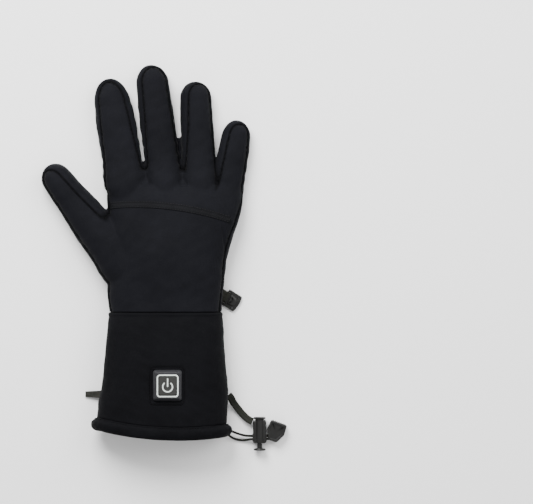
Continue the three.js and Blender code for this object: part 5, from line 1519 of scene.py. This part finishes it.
def printable(xy):
    """Well inside the palm's panel, below the touch pads and off the seam down its middle."""
    at = np.column_stack([xy, np.zeros(len(xy))])
    inside = (palm_seam(at) > 1.4) & (xy[:, 1] > WRIST_EDGE + 1.5)
    for name, length in TOUCH_LENGTH.items():
        along, across = digit_place(name, xy[:, 0], xy[:, 1])
        on_pad = (along > DIGITS[name]["length"] - length - 1.2) & (np.abs(across) < DIGITS[name]["half"] * 1.3)
        inside &= ~on_pad
    return inside


keep = printable(starts) & printable(ends)
share = np.linspace(0, 1, RIDGE_STATIONS)[None, :, None]
lines = starts[keep][:, None] * (1 - share) + ends[keep][:, None] * share
points, normals, _ = dropped(hand_tree, lines.reshape(-1, 2), -1.0)
points, normals = points.reshape(lines.shape[:2] + (3,)), normals.reshape(lines.shape[:2] + (3,))
way = points[:, -1:] - points[:, :1]
across = np.cross(normals, way)
across /= np.linalg.norm(across, axis=2, keepdims=True)
ridge_profile = [(-1, -0.6), (-0.75, 0.7), (0, 1), (0.75, 0.7), (1, -0.6)]
rings = np.stack(
    [points + across * a * RIDGE_HALF_WIDTH + normals * b * RIDGE_HEIGHT for a, b in ridge_profile], 2
)
rings[..., 2] = np.maximum(rings[..., 2], 0.06)
per_ridge = RIDGE_STATIONS * len(ridge_profile)
_, one_set = closed_tube(rings[0])
ridge_faces = [
    (f[None] + np.arange(len(rings))[:, None, None] * (per_ridge + 2)).reshape(-1, f.shape[1]) for f in one_set
]
poles = rings[:, [0, -1]].mean(axis=2)
ridge_points = np.concatenate([rings.reshape(len(rings), per_ridge, 3), poles], 1).reshape(-1, 3)
piece("grip_print", (ridge_points, ridge_faces), print_silicone)

# %% [markdown]
# ## Table and light
# A plain pale table and large soft lamps, as in a small studio: near-black cloth shows its form only by
# broad, weak reflections.

# %% Table, lamps and surroundings
TABLE_SIZE = 6.0
table = bpy.data.meshes.new("table")
half = TABLE_SIZE / 2
table.from_pydata([(-half, -half, 0), (half, -half, 0), (half, half, 0), (-half, half, 0)], [], [(0, 1, 2, 3)])
table_top = bpy.data.objects.new("table", table)
bpy.context.scene.collection.objects.link(table_top)
table_finish = bpy.data.materials.new("table_white")
table_finish.use_nodes = True
table_finish.node_tree.nodes["Principled BSDF"].inputs["Base Color"].default_value = (0.94, 0.94, 0.94, 1)
table_finish.node_tree.nodes["Principled BSDF"].inputs["Roughness"].default_value = 0.9
table.materials.append(table_finish)

LAMPS = {
    "key": ((-0.3, 0.75, 0.85), 0.8, 33.0),
    "fill": ((0.9, 0.6, 1.1), 1.2, 18.0),
    "low": ((0.1, -1.2, 1.0), 1.0, 3.0),
}
for name, (place, size, power) in LAMPS.items():
    lamp = bpy.data.lights.new(name, "AREA")
    lamp.shape = "DISK"
    lamp.size = size
    lamp.energy = power
    item = bpy.data.objects.new(name, lamp)
    item.location = place
    item.rotation_euler = (Vector((0, 0, 0)) - Vector(place)).to_track_quat("-Z", "Y").to_euler()
    bpy.context.scene.collection.objects.link(item)
world = bpy.data.worlds.new("studio")
world.use_nodes = True
world.node_tree.nodes["Background"].inputs["Color"].default_value = (1, 1, 1, 1)
world.node_tree.nodes["Background"].inputs["Strength"].default_value = 0.7
bpy.context.scene.world = world
print("lamps:", ", ".join(LAMPS))
